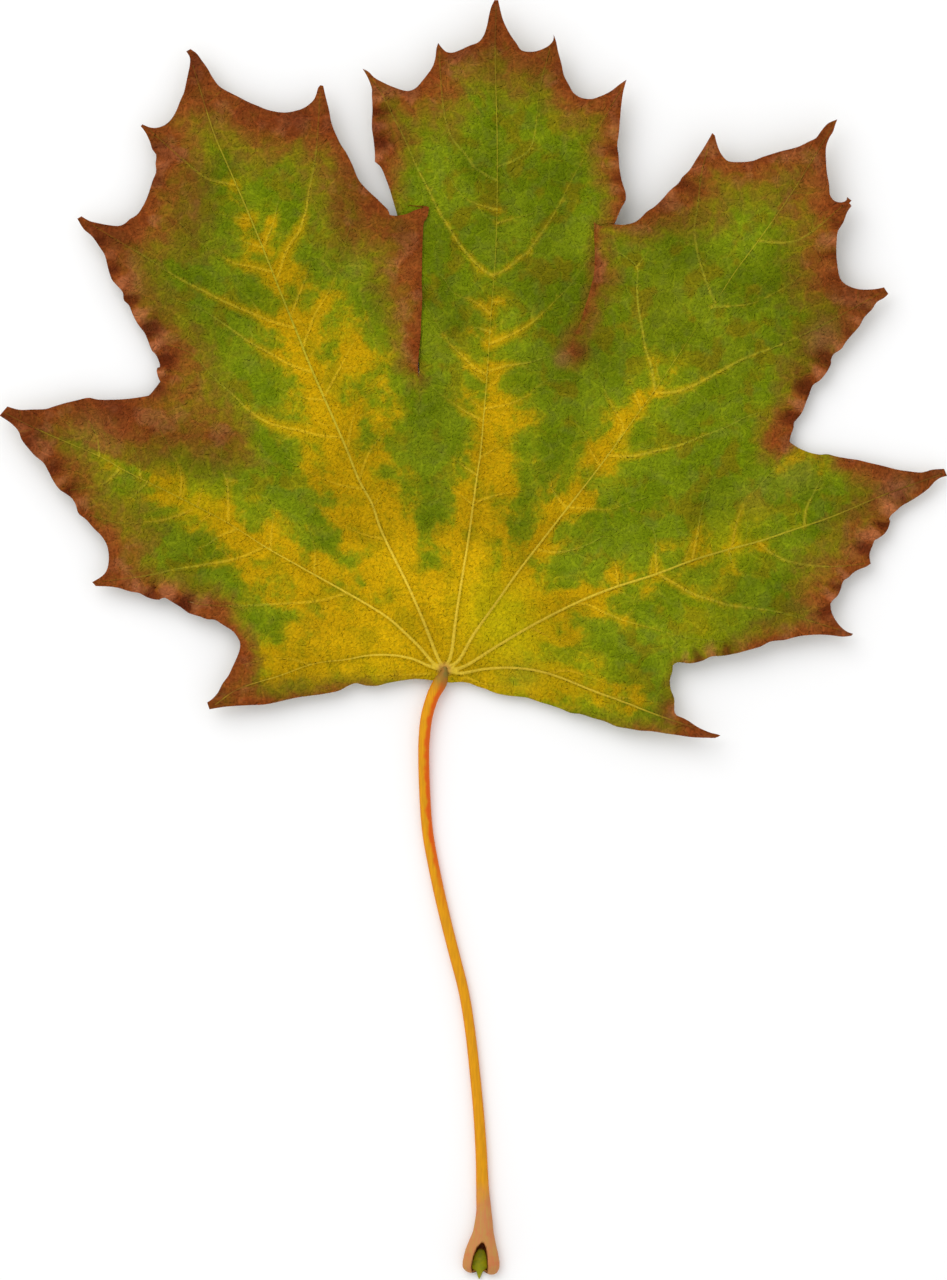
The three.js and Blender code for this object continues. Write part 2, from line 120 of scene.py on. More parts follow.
UPPER_RIGHT_MARGIN = [
    [(21.5, 53.8), (21.65, 55.2), (22.3, 56.8), (22.8, 58.1), (23.3, 59.5), (23.85, 61.5), (24.4, 63.2),
     (24.9, 65.2), (25.2, 66.2), (25.4, 68.3), (25.4, 70.3), (25.3, 73.3)],
    [(25.25, 75.5), (26.35, 74.8), (28.8, 75.1), (30.1, 75), (32, 75.4), (33, 76.05), (34.2, 77.25),
     (35.5, 78.1), (37.2, 79.8), (37.9, 80.65), (39.6, 82.15), (40.1, 83), (41.25, 84.1), (42.6, 86.2),
     (43.8, 88.05), (45, 90.1)],
    [(45.2, 90.5)],
    [(45.65, 90.1), (46, 88.7), (46.7, 87), (47.7, 85.85), (49.8, 85.6), (52.2, 85.85), (53.4, 86.35),
     (55.4, 87), (57.1, 87.5), (58.8, 87.9), (60, 88.3), (61.5, 89.05), (62.7, 89.65), (63.55, 90.8),
     (64.7, 92.1)],
    [(66.3, 92.8), (65.9, 91.75), (65.6, 90.75), (64.9, 89.6), (64.4, 88.05), (64.4, 85.85), (64.55, 83.8),
     (64.95, 81.5), (65.05, 80.1), (65.75, 79.1), (66.9, 78.8), (67.8, 79.1)],
    [(67.95, 79.7)],
    [(68.7, 79.1), (68.3, 78.8)],
    [(68.7, 78.2), (68, 77.2), (67.3, 75.4), (66.4, 73.9), (66.2, 72.3), (66.15, 70.5), (66.35, 68.1),
     (66.9, 65.8), (68.1, 64.8), (69.9, 64.2), (72, 64.15), (73.3, 64.3)],
    [(74.2, 64.5)],
    [(74.95, 63.4), (74.2, 62.7), (73, 62), (72.15, 60.7), (71.6, 60.2), (70.8, 59.3), (70.1, 58),
     (68.9, 56.6), (67.75, 55.25), (67.1, 54.2), (65.7, 53.2), (65.3, 52.35), (65.3, 51.7), (64.75, 50.5),
     (63.4, 48.8), (62.35, 48.15), (61.9, 47.3), (61.65, 46.5), (61.15, 45.3), (60.5, 43.6), (59.95, 42.75),
     (59.1, 41.75), (58.95, 40.7), (58.45, 39.35)],
]
RIGHT_SIDE_MARGIN = [
    [(58.35, 38.4), (59.9, 37.4), (61.6, 36.7), (63.5, 36.3), (64.6, 36.4), (66.2, 36), (68.1, 35.65),
     (69.9, 35.4), (71.7, 34.95), (74.1, 34.4), (76.4, 33.8), (78.4, 33.5), (80.7, 33.3), (82.3, 33.75)],
    [(84.4, 33.9)],
    [(84.9, 32.7), (83.8, 32.4), (82.8, 31.7), (81.8, 30.6), (79.9, 29.2), (78.6, 28.4), (77.2, 27.6),
     (76.4, 26.9), (75.5, 26.1), (75.1, 25.5)],
    [(75.3, 25), (75, 24), (74.4, 23), (73.35, 22.2)],
    [(72.6, 21.8), (72.3, 20.9), (71.9, 19.9), (71.8, 18.9)],
    [(72, 17.9), (71.3, 17.4), (70, 16.9), (69.1, 16.4), (68.3, 15.6), (67.4, 15), (66.9, 13.5),
     (66.4, 12.45), (65.6, 11.75)],
    [(65.2, 11.15), (65.3, 10), (65.9, 8.6), (66.9, 7.25), (68, 6.4)],
    [(69, 6.05)],
    [(68.7, 5.7), (67.3, 5.55), (65.2, 5.8), (63.2, 5.9), (60, 5.65), (57.4, 5), (55.1, 4.75),
     (53.4, 3.9), (51, 3.2), (48.65, 2.6), (46.65, 2.3), (45, 2.2), (43.6, 1.5), (41.5, 1.05),
     (40.2, 1.2), (39.2, 1.2)],
]
RIGHT_BASAL_MARGIN = [
    [(38.6, 0.7), (38.5, -0.35), (38.1, -1.7), (38.25, -3.4), (38.8, -4.75), (38.85, -5.9), (38.85, -7.1)],
    [(39.2, -7.7), (40.9, -8.45), (42.9, -9.75), (45, -10.65), (46.1, -10.9)],
    [(46.6, -11.1), (45.8, -11.5), (44.3, -11.5), (41.8, -11.4), (39.7, -11.1), (37.5, -10.8), (35, -10.4),
     (33.1, -10.3), (31.1, -9.95), (29.1, -9.6), (27, -8.7), (25, -8.15), (23, -7.5), (21.3, -7.3),
     (19.9, -6.7), (18.25, -6.1), (16.2, -5.5), (14.2, -4.8), (12.85, -4.6), (10.8, -4.4), (8.6, -3.95),
     (7.1, -3.3), (5.75, -2.9), (4.05, -2.25), (2.6, -2.1), (1.2, -2.2), (0.3, -2.1)],
    [(-0.2, -1.9)],
]

# The main ribs, each from the stalk to its lobe's tip.
RIBS = [
    # left basal
    [(-0.7, 0.1), (-2.4, 0.55), (-5, 1.7), (-7.5, 2.3), (-10.5, 2.5), (-13.2, 2.35), (-16.6, 1.7),
     (-20, 1.35), (-22.7, 0.8), (-27.7, -1), (-35, -3.4), (-38.6, -5.9)],
    # left side
    [(-0.6, 0.4), (-1.7, 1), (-4.1, 3.75), (-6.5, 6.1), (-9.15, 8.5), (-12.5, 10.7), (-24.35, 17.4),
     (-30, 20.6), (-36.5, 24.75), (-45, 29.2), (-54.1, 33.7), (-57.45, 35.65), (-65.6, 39.2), (-70, 41.2),
     (-73.9, 43.2)],
    # upper left
    [(-0.3, 0.6), (-0.9, 1.6), (-3.8, 8.9), (-6.4, 14.8), (-8.6, 19.2), (-10.8, 23.9), (-12.2, 28),
     (-14.4, 32), (-16.3, 36.8), (-18.5, 41.9), (-22.5, 51), (-24.4, 55.75), (-26.75, 61.5), (-30.8, 71.65),
     (-34.5, 80.5), (-36.85, 85.8), (-38.5, 89.6), (-40, 94), (-41.5, 99), (-42.9, 103.6)],
    # central
    [(0.3, 0.6), (1, 2), (2.1, 9.65), (3.2, 16.6), (4.1, 22.1), (5.5, 32.4), (6.1, 36.4), (6.6, 41.9),
     (7.25, 50.05), (7.9, 60.15), (8.6, 68.9), (8.9, 77.75), (8.95, 89.2), (8.7, 99.4), (8.6, 104.1),
     (8.75, 111.8)],
    # upper right
    [(0.6, 0.5), (2.1, 1.2), (5, 6), (8.65, 11.1), (12.3, 16.3), (19.65, 25.8), (27, 35.3), (31.75, 41.9),
     (35, 46.4), (41.3, 55.7), (45.4, 61.4), (49, 67), (53.1, 72.5), (58.5, 80.2), (65.6, 91.8)],
    # right side
    [(0.8, 0.1), (2.8, 0.3), (8.65, 3.8), (14.2, 7.1), (19.7, 10), (24.4, 12.2), (28.8, 13.9), (35.7, 16.1),
     (42.1, 18.5), (48.4, 20.4), (53.3, 21.7), (58.9, 23.6), (64.9, 25.6), (75, 29.8), (80.6, 31.8),
     (84, 33)],
    # right basal
    [(0.9, -0.3), (2.8, -0.6), (6.8, 0.1), (11.6, 0.3), (16, -0.25), (19.65, -1.35), (25.1, -3.55),
     (31.2, -5.8), (35, -7.3), (45.6, -11)],
]

# Side veins: how far yellow spreads from the vein's start, in millimetres, and the vein's points.
SIDE_VEINS = [
    # left basal lobe
    (0.3, [(-2.4, -0.7), (-7, -0.9), (-13.4, -1)]),
    (0.5, [(-22.7, 0.8), (-26, 1.8), (-30.5, 1.6), (-34, 0.8)]),
    # left side lobe, lower side
    (1.1, [(-30.3, 20.8), (-34.5, 18.9), (-40, 17.8), (-45, 17), (-50, 15.9), (-57.6, 14.9)]),
    (0.8, [(-42.6, 27), (-45, 26), (-48, 25.15), (-50, 24.95), (-54.7, 24.75), (-58, 25.5), (-60.3, 26.3)]),
    (0.45, [(-50, 31.8), (-53, 28.7)]),
    (0.45, [(-54.7, 34), (-57.4, 31.4), (-60.5, 30.7), (-63.3, 30.3)]),
    (1.3, [(-16.5, 12.9), (-20.7, 11.7), (-24.4, 11.3), (-30, 11), (-35, 10.75), (-41, 11), (-43.2, 11.5)]),
    (0.9, [(-35, 23.7), (-38, 22.5), (-40.5, 20.8), (-42, 20.6)]),
    (0.6, [(-39.5, 26.2), (-42, 24.3), (-43, 23.4)]),
    # left side lobe, upper side
    (1.2, [(-44.6, 28.9), (-44.4, 32.4), (-45, 34.8), (-46, 36.5), (-46.8, 38.2), (-48, 40.5)]),
    (1.3, [(-36.5, 24.75), (-36.5, 28.7), (-36.7, 31.8), (-37.5, 34.1), (-37.7, 35.5), (-37.5, 37.9)]),
    (0.6, [(-36.7, 31.8), (-33.4, 32.1)]),
    (1.2, [(-29.4, 20.4), (-29, 24.7), (-28.7, 27.4), (-29.7, 28.7), (-31.1, 29.6)]),
    (0.9, [(-41.7, 27.5), (-40.7, 31.1)]),
    (0.6, [(-51.3, 32.3), (-51.5, 35.2), (-52.6, 37.6)]),
    (0.3, [(-58.2, 36), (-58.5, 39), (-60, 42)]),
    (1.1, [(-22, 16.1), (-21.8, 20), (-23, 24.6)]),
    # upper left lobe, left side
    (1.1, [(-25.2, 57.7), (-29.4, 58.9), (-32.5, 60.2), (-36.8, 62), (-40, 63.6), (-45, 66.2),
        (-50.3, 69.6), (-54.4, 72), (-60.2, 75.6)]),
    (1.3, [(-22.2, 50.2), (-26, 51.5), (-29.4, 53.4), (-32.5, 55.1), (-36.8, 58.1), (-41, 60.8),
        (-46, 62.6)]),
    (1.9, [(-17.3, 39.2), (-20.7, 39.5), (-24.4, 40.4), (-27.7, 41.05), (-30, 41.9), (-32.8, 43.6),
        (-35, 45.8), (-37.5, 48), (-40, 50.5), (-41.5, 52.4), (-43.2, 53.7), (-47, 55)]),
    (1.4, [(-28.9, 67.1), (-32.8, 68.1), (-35.5, 68.6), (-37.8, 70), (-40, 71.3), (-43.2, 74),
        (-44.6, 75.4)]),
    (1, [(-32.6, 76), (-35.5, 76.4), (-38.2, 76.9)]),
    (0.4, [(-35.1, 81.8), (-37.9, 82.3), (-40.2, 83), (-44, 86), (-50.3, 91.6)]),
    (1.2, [(-13.5, 30.5), (-18, 31.3), (-23, 33.5), (-27, 36)]),
    (1, [(-30.6, 71.3), (-34, 72.3), (-37, 74)]),
    (1.2, [(-20.2, 45.5), (-24, 46), (-28, 47.6)]),
    (1, [(-10, 22), (-14, 23), (-19, 25.6), (-22, 28)]),
    # upper left lobe, right side
    (2.1, [(-20.3, 46), (-17.6, 51), (-15.3, 55.2), (-13, 59), (-11.2, 61.7), (-9.85, 64.5)]),
    (2, [(-23.9, 54.5), (-21.6, 60.4), (-19.35, 64), (-18, 67.6), (-17.1, 70.8), (-15.7, 75.3)]),
    (1.4, [(-28.3, 65.6), (-26.4, 71.2), (-24.6, 73.8), (-23.3, 77.6), (-22.9, 80.2), (-22.2, 83.7),
        (-21.6, 87.5), (-20.9, 97.4)]),
    (1.5, [(-16.4, 37.1), (-15.3, 42.5), (-12.1, 47.7), (-9.4, 50)]),
    (1.3, [(-14.4, 32), (-12.6, 36.8), (-9.4, 40.8)]),
    (1.1, [(-12, 27.4), (-9.5, 31.8)]),
    (1.2, [(-26, 59.6), (-24, 64.6), (-22.4, 68.5)]),
    (0.9, [(-30.6, 71.2), (-28.8, 75.5), (-28, 79)]),
    # central lobe, left side
    (0.5, [(8.4, 66.4), (6.4, 67.6), (4.7, 69.3), (2.7, 71.65), (1, 74.35), (-1.05, 77.7), (-2.7, 81.1),
        (-4.8, 85.2), (-6.5, 89.2), (-8.45, 93), (-10.8, 97.7), (-13, 100.6)]),
    (0, [(8.95, 82.5), (6.8, 83.65), (5.1, 84.85), (3.4, 87.2), (1.35, 89.6), (0, 94), (-0.9, 104.6)]),
    (1, [(7.8, 60.1), (6.1, 61.5), (4.4, 62.5), (2.7, 63), (1, 64.2), (0.3, 65.6), (-0.7, 66.7)]),
    (1.1, [(7.2, 49.8), (5, 51.05), (3.35, 52.75), (1, 54.95), (-0.35, 57.1), (-2.05, 59.8), (-4.4, 63.4)]),
    (1, [(6.6, 41.9), (2.8, 44.1), (-0.3, 46.3), (-3.05, 48.6)]),
    (0.9, [(5.6, 32.8), (3, 34.6), (0.95, 36.05), (-1.2, 37.15)]),
    (0.7, [(7.8, 57), (5, 57.8), (4, 57.3)]),
    (0.5, [(8.9, 77.6), (5.5, 78.6), (3, 80), (1, 83)]),
    (0.9, [(4.9, 27.8), (2, 30), (-0.5, 31)]),
    # central lobe, right side
    (0.5, [(8.5, 66.7), (10.5, 67.6), (12.5, 69.3), (14.2, 70.5), (15.2, 72), (16.9, 74.35), (18.6, 77.05),
        (19.9, 79.4), (21.6, 82.8), (23.3, 85.85), (24.3, 88.2), (30.2, 98.5)]),
    (1.1, [(7.6, 54.9), (9.8, 55.9), (11.8, 56.8), (14.2, 58.1), (16.6, 60.15), (18.95, 62.5), (21, 64.5),
        (23, 67.2), (24.7, 69.6)]),
    (1.3, [(7.3, 50.3), (10.1, 51.2), (12.2, 51.55), (14.5, 51.9), (16.9, 52.7), (18.95, 53.2)]),
    (1.4, [(6.8, 44), (11.4, 45), (14.1, 46.3), (16.9, 48.6), (21.3, 49)]),
    (1.5, [(6.1, 35.8), (8.7, 37.3), (12.3, 38.4)]),
    (1.3, [(4.9, 28.1), (8.65, 29.4), (13.1, 30.2)]),
    (0.8, [(8.1, 62), (12.5, 62.6)]),
    (0, [(8.95, 84.9), (11.5, 85.8), (14.5, 87.9), (16.2, 98.4), (18.2, 106)]),
    (0.4, [(8.9, 75.3), (10.5, 75.8), (15, 77)]),
    # upper right lobe, right side
    (0.6, [(35.2, 46.7), (39.1, 46.9), (42.2, 48), (46.8, 50.5), (51.3, 52.8), (55.8, 54.4), (60.3, 56.4),
        (64.9, 58.7), (67.6, 60.2), (73.3, 63.4)]),
    (0.1, [(45.2, 61.2), (49.5, 61.4), (52.6, 62), (55.8, 63.6), (58.5, 65.2), (60.3, 66.8)]),
    (0.25, [(53, 72.3), (57.6, 72), (60.3, 72.7), (67.2, 78.2)]),
    (0.75, [(27.6, 36.2), (31.4, 36), (35.4, 36.8), (39.5, 37.8), (43.6, 39.4), (47.7, 41), (51.3, 42.8),
        (54, 43.5)]),
    (0.9, [(20.8, 27.4), (24.6, 27.2), (27.75, 27), (30.9, 28.1), (34, 29)]),
    (0.7, [(15.5, 20.3), (19, 19.8), (23.5, 20.8), (27, 22.6)]),
    # upper right lobe, left side
    (0.1, [(45.7, 61.9), (44.3, 65.2), (43.1, 68.8), (42.45, 72), (42.2, 74.3), (42.9, 79.1), (43.3, 83.2),
        (44.8, 89.2)]),
    (0.45, [(35.6, 47.4), (34.8, 51.6), (33.9, 54.4), (33.4, 57.5), (32.7, 61.6), (32.5, 64.8),
        (32.5, 67.9), (28.2, 71.1)]),
    (0.25, [(32.5, 67.9), (34.4, 70.5)]),
    (1.4, [(29.3, 38.5), (30.2, 41), (28.7, 43.9), (27.3, 46.7), (26.2, 49.4), (25.7, 52.5)]),
    (1.3, [(26.3, 34.4), (24.6, 37.2), (23.5, 39.9), (22, 42)]),
    (1, [(33.2, 43.9), (31.4, 48.5)]),
    (1.2, [(20.7, 27.2), (18.5, 30), (17.6, 33)]),
    # right side lobe, lower side
    (0.8, [(36, 16.2), (39.5, 14.2), (42.1, 12.7), (45.1, 11.8), (48, 10.9), (51.8, 10.4), (56.3, 9.75),
        (67.8, 6.4)]),
    (0.4, [(53, 21.6), (55.5, 19.5), (58.1, 18.3), (61.9, 17.6), (66, 17.4), (71, 17.9)]),
    (0.45, [(48, 20.3), (48.8, 17.6), (50.3, 16.1)]),
    (1.1, [(21, 10.6), (23.7, 11.1), (27, 9.65), (30.1, 8.4), (35.7, 6.8), (39.5, 5.7), (43.2, 5.1),
        (47.3, 4.7)]),
    (1, [(14.5, 7.2), (17.8, 5.6), (21.5, 4.5)]),
    # right side lobe, upper side
    (1.2, [(35.9, 16.2), (35.7, 19.5), (35.7, 22.1), (35.15, 24)]),
    (1.1, [(41.9, 18.4), (42.8, 23.2), (43.4, 26.6), (44.1, 29.2), (44.7, 30.7)]),
    (1, [(48.6, 20.5), (49.2, 24), (50.3, 27.3), (52.2, 29.9), (54.4, 32.4), (56.3, 34.4)]),
    (0.4, [(60.8, 24.2), (61.1, 27), (62.3, 29.6), (63.8, 32.6)]),
    (0.8, [(29.4, 14.1), (29, 17.2), (28.8, 19.5)]),
    # right basal lobe
    (0.6, [(2.8, -0.9), (6.8, -2.45), (10.9, -3)]),
    (0.8, [(17.5, -0.6), (21, -0.2), (26, -1.8), (31, -3.2)]),
    (0.4, [(28, -4.7), (32, -4.9), (36, -5.6)]),
]

# ---- Heights and overlaps of the blade, as in the CAD model, in millimetres
LAMINA_THICKNESS = 0.26  # thinner than in the CAD model
WAVES = [(0.9, 118, 12, 205), (0.8, 92, 78, 20), (0.6, 61, 131, 250)]  # height, length, direction, phase
WAVE_LEVEL = 2.1
LOWEST_LAMINA = 0.95
TOUCHDOWN = 0.5
TIP_CURL = 2.2
CURL_RADIUS = 110
# The upper side lobes lie over the edges of the central one. Slits (y, x) part them in the flat sheet.
LEFT_SLIT = [(49.5, -4.33), (57, -5.3), (65, -6.5), (72, -7.7), (78.4, -8.85), (81, -12), (100, -16)]
RIGHT_SLIT = [(54, 21.52), (55, 21.78), (56, 22.29), (57, 22.83), (58, 23.4), (60, 24.3), (64.5, 26.2),
              (70, 27.9), (75.3, 29.15), (77, 31), (100, 33)]
FLAPS = {
    "left": {"root_y": 49.5, "edge_x": -3, "inwards": 1, "slope": 0.22, "slit": LEFT_SLIT},
    "right": {"root_y": 54, "edge_x": 25.3, "inwards": -1, "slope": 0.2, "slit": RIGHT_SLIT},
}
SLIDE_REACH = 22
SLIDE_RISE = 30
FLAP_LIFT = 0.8
FLAP_RAMP = 3

# ---- Colour plan of the blade, in millimetres
# Yellow spreads this far round each point (x, y, reach); the reach changes evenly between points.
YELLOW_BANDS = [
    [(-32, 4, 2), (-27, 0.5, 4), (-20, 2, 7), (-8, 6, 9), (0, 8, 11), (5, 13, 9)],
    [(9, 30, 3), (10.5, 38, 3.5), (10, 46, 2.5)],
    [(-1, 2, 8), (-8, 17, 7), (-14, 31, 6.2), (-20, 43, 4.2), (-24, 54, 3.4), (-28.8, 67, 2.2),
     (-32.8, 76, 0.6), (-34.5, 80, -1)],
    [(-12, 42, 2.5), (-15, 53, 3), (-19, 61, 1.5)],
    [(0.5, 5, 8), (5.5, 20, 6.5), (7.5, 32, 3), (7.8, 42, 2.6), (8, 50, 1.6), (7.9, 58, 0), (8.5, 69, -3)],
    [(3, 3, 7), (9, 12, 8), (16, 22, 2), (22, 30, 2.2), (29, 39, 1.6), (33, 44, 0.8), (38, 50, -0.5)],
    [(5, 2, 6), (13, 6, 6), (22, 10, 3), (33, 15, 0.8), (45, 19, 1.1), (56, 22.5, -0.6)],
    [(58.6, 39.2, 1), (60.5, 37.2, 2), (63.5, 36.4, 1.2)],
    [(5, -1, 6), (14, -2, 4.5), (24, -3, 2.5), (32, -6, -0.5)],
    [(-5, 4, 7.5), (-15, 10, 5), (-28, 18, 5), (-36, 24, 3.2), (-45, 29, 2), (-56, 35, -0.6)],
]
# How far the reddish brown reaches in from the margin at each point (x, y, reach), clockwise.
RUST_REACH = [
    (-1.7, -0.6, -2), (-12, -2.7, 0), (-20, -4, 1), (-31, -6, 2.5), (-39.8, -6.7, 10), (-36, 0, 4),
    (-34.4, 4.6, 1), (-40, 8.5, 4), (-48, 12, 3), (-58.8, 14.1, 8), (-57, 21, 6), (-61.7, 26.4, 5),
    (-71, 38.5, 6), (-75, 43, 8), (-67, 44, 9), (-55, 45.6, 9), (-49.8, 46.3, 8), (-48.5, 51, 7),
    (-52.6, 60, 4), (-56.7, 68, 7), (-61.9, 76, 10), (-54, 75.1, 9), (-48.7, 84, 6), (-51.2, 91.8, 8),
    (-46, 93, 6), (-43.2, 104.5, 10), (-34.5, 96.5, 6), (-26, 94.1, 7), (-21, 98.6, 9), (-18.4, 90.5, 5),
    (-12.9, 80.7, 5), (-9, 76.7, 6), (-2.6, 78.4, 6), (-3.6, 72, 5), (-3.8, 65, 4.5), (-4, 57, 3.5),
    (-4.4, 51, 2), (-4.2, 51.2, -2), (-7.9, 76.6, -1), (-9.9, 83, 3), (-11.8, 86.5, 7), (-12.2, 97, 7),
    (-13.8, 101.3, 10), (-7.5, 97.9, 5), (-1, 105.7, 8), (1.4, 104, 4), (8.6, 112.9, 10), (13, 104.4, 6),
    (18.5, 107, 8), (21, 98.7, 4), (26, 96.6, 5), (30.7, 99.5, 9), (29.3, 89, 4), (30.6, 79.2, 3),
    (26.2, 66, 0.5), (21.8, 56, 0.5), (21.6, 54.6, 1), (23.8, 61.5, 2), (25, 66, 2.5), (25.3, 75.4, 1),
    (31, 75.2, 2), (37.5, 80.3, 6), (45.2, 90.5, 9), (49.8, 85.6, 5), (60, 88.3, 6), (66.3, 92.8, 10),
    (64.4, 86.5, 8), (65.5, 79.3, 9), (68.3, 78.8, 9), (66.2, 71, 6), (68, 64.8, 6.5), (74.4, 64.2, 8),
    (70.1, 58, 6), (65.3, 52, 5), (61, 45, 4), (58.4, 38.6, 3), (60, 37.4, -1), (64.6, 36.4, -0.5),
    (69, 35.5, 4), (75, 34.2, 7), (84.6, 33.5, 10), (79, 28.6, 7), (75.2, 25.2, 7.5), (72.5, 21.7, 7),
    (72, 18, 6.5), (67.4, 15, 5), (65.3, 10.5, 5), (69, 6, 8), (61, 5.8, 4), (53.4, 3.9, 2), (45, 2.2, 1),
    (38.6, 0.6, -1), (38.1, -1.8, -0.5), (39, -7.3, 2.5), (46.6, -11.1, 9), (38, -10.9, 1), (30, -9.9, 0),
    (20, -6.8, -1), (9, -4, -2), (1.6, -0.8, -2),
]
# Single patches: x, y, radius and strength. Rust and dark add, and negative strengths take away.
RUST_PATCHES = [
    (-33, 4, 3, 3), (-40, 38, 6, 7), (-34, 38, 5, 9), (-50, 39, 6, 2), (-30, 33.5, 3, 8),
    (-23.5, 28.5, 2.5, 10), (-9, 70, 5, 2), (-8, 60, 5, 2), (-5.5, 44, 3.5, 10), (-4.5, 37, 3, 8),
    (21, 51, 3, 5), (24, 55, 2, 1.5), (24, 68, 2, 2.5), (14, 42, 4, 1.5), (22, 57, 3, 2), (0, 54, 4, 2),
    (-40, 82, 5, 3), (-32, -1, 3, 4), (28, 66, 2.5, 3), (56, 13, 5, 1), (54, 40, 3, 4), (-45, 12, 4, 1.5),
    (-28, 87, 6, 2), (-20, 84, 5, -2), (60, 14, 5, 1), (55, 38, 3, 5), (46, 32, 2, 9), (50, 34.5, 3, 10),
]
DARK_PATCHES = [
    (-7.5, 74, 2.8, 0.6), (-11.5, 91.5, 1.5, 0.7), (-33, 94, 3.5, 0.45), (-25, 92, 3.5, 0.35),
    (-71, 41, 5, 0.4), (-56, 45, 3, 0.5), (-48.5, 47.5, 2, 0.6), (-62, 43.5, 2, 0.4), (82, 33, 4, 0.1),
    (-42.5, 102.5, 3, 0.5), (-57, 72, 5, 0.4), (-55, 42, 5, 0.2), (-50, 16, 2, 0.3), (-45, 10.5, 1.6, 0.8),
    (-14, 84, 2, 0.4), (-24, 94, 3.5, 0.3), (-40, 95, 3, 0.3), (23, 53, 2, 0.6), (-38, -5, 3, 0.4),
    (36, 62, 8, 0.15), (58, 68, 5, 0.1), (-22, 7, 3, 0.12), (48, 54, 5, 0.1), (0, 54, 5, 0.1),
]
# Painted highlights: soft pale pinkish patches that stand for sheen on folds and crests.
PAINTED_SHEEN_PATCHES = [
    (-60, 41, 5, 0.3), (-55, 39, 4, 0.15), (-50, 43, 3, 0.15), (-15, 68, 3, 0.3), (-52, 66, 3, 0.3),
    (-50, 53, 2, 0.4), (20, 52.5, 2, 0.6), (60, 33, 5, 0.3), (52, 29, 5, 0.25), (13, -1, 6, 0.25),
    (-60, 72, 3, 0.3), (-38, 3, 2, 0.2), (66, 83, 4, 0.3), (58, 83, 4, 0.2), (70, 60, 3, 0.2),
    (76, 30, 4, 0.5), (64, 56, 4, 0.5), (-16, 84, 4, 0.2), (62, 9, 4, 0.25), (69, 20, 3, 0.3),
]
# Greener and brighter gold, mostly round the stalk.
LIME_PATCHES = [
    (9, 9, 6, 0.6), (14, 2, 6, 0.4), (24, -2, 5, 0.2), (-12, -2, 4, 0.2), (44, 7, 5, 0.25),
    (48, 22, 4, 0.3), (-41, 29, 4, 0.35),
]
# Stretches of the margin that ripple: a point on the margin, the half length of the stretch, the height.
RIPPLES = [
    (-51, 57, 14, 0.83), (-57, 70, 6, 0.45), (-49, 85, 6, 0.45), (-12, 91, 8, 0.68), (63, 49, 12, 0.75),
    (70, 58, 5, 0.45), (74, 24, 8, 0.75), (67, 12, 6, 0.6), (-47, 12, 8, 0.75), (-66, 32, 8, 0.52),
    (30, 86, 8, 0.45), (-72, 40, 4, 0.45), (45, 2, 8, 0.45), (66, 72, 6, 0.45), (40, 83, 6, 0.38),
]

# ---- Plan of the stalk, in millimetres, from the junction to the foot
STALK_AXIS = [
    (0.1, 0.5), (0, -0.5), (-0.8, -2.4), (-1.7, -4), (-2.6, -6.5), (-3.1, -8.8), (-3.4, -12),
    (-3.46, -13.9), (-3.3, -20.6), (-2.8, -27.4), (-1.6, -34.1), (-0.1, -40.9), (1.6, -47.7), (3.3, -54.4),
    (4.4, -61.2), (5.15, -67.9), (5.8, -74.7), (6.25, -81.5), (6.5, -88.2), (6.7, -91.6), (6.6, -95),
    (6.3, -98.4), (6.2, -101.7),
]
# Millimetres from the top, half width, half height.
STALK_SIZES = [
    (0, 0.3, 0.3), (0.9, 0.6, 0.6), (2.4, 1.2, 0.9), (3.4, 1.2, 0.92), (6, 1.05, 0.9), (15, 0.94, 0.88),
    (40, 0.93, 0.88), (62, 0.86, 0.84), (75, 0.9, 0.86), (86, 1, 0.92), (90, 1.1, 1),
    (93.5, 1.28, 1.12), (97, 1.75, 1.3), (100.4, 2.8, 1.45), (102, 3.12, 1.45), (103, 3.15, 1.35),
    (104, 3.1, 1.25),
]
JOINT_HEIGHT = 2.0
# The hollow of the foot: half width and middle at each distance from the foot's end.
HOLLOW_STOPS = [0, 1, 2.7, 4, 5.2]
HOLLOW_HALF_WIDTHS = [1.6, 1.55, 1.3, 0.9, 0.1]
HOLLOW_MIDDLES = [-0.25, -0.25, -0.15, -0.05, 0.1]
HOLLOW_WALL = 0.35
HOLLOW_FLOOR = 0.35
RESTS_FROM = 32  # millimetres from the top where the stalk comes to lie on the surface


# ---- Plane geometry
CURVE_PARTS = 8  # straight parts between two given points, before the curve is spaced out


def smooth01(v):
    """0 below 0, 1 above 1 and a smooth step between."""
    v = np.clip(v, 0.0, 1.0)
    return v * v * (3.0 - 2.0 * v)


def bell(distance, width):
    """1 at distance 0, falling softly to nothing over about twice the width."""
    return np.exp(-(distance / width) ** 2)


def arc_lengths(points):
    """How far along the polyline each of its points is."""
    return np.append(0, np.cumsum(np.linalg.norm(np.diff(points, axis=0), axis=1)))


def shares_along(points):
    """The same, as a share of the whole length."""
    along = arc_lengths(points)
    return along / along[-1]


def headings(line):
    """The direction of a polyline at each of its points, of length 1."""
    heading = np.gradient(line, axis=0)
    return heading / np.linalg.norm(heading, axis=1)[:, None]


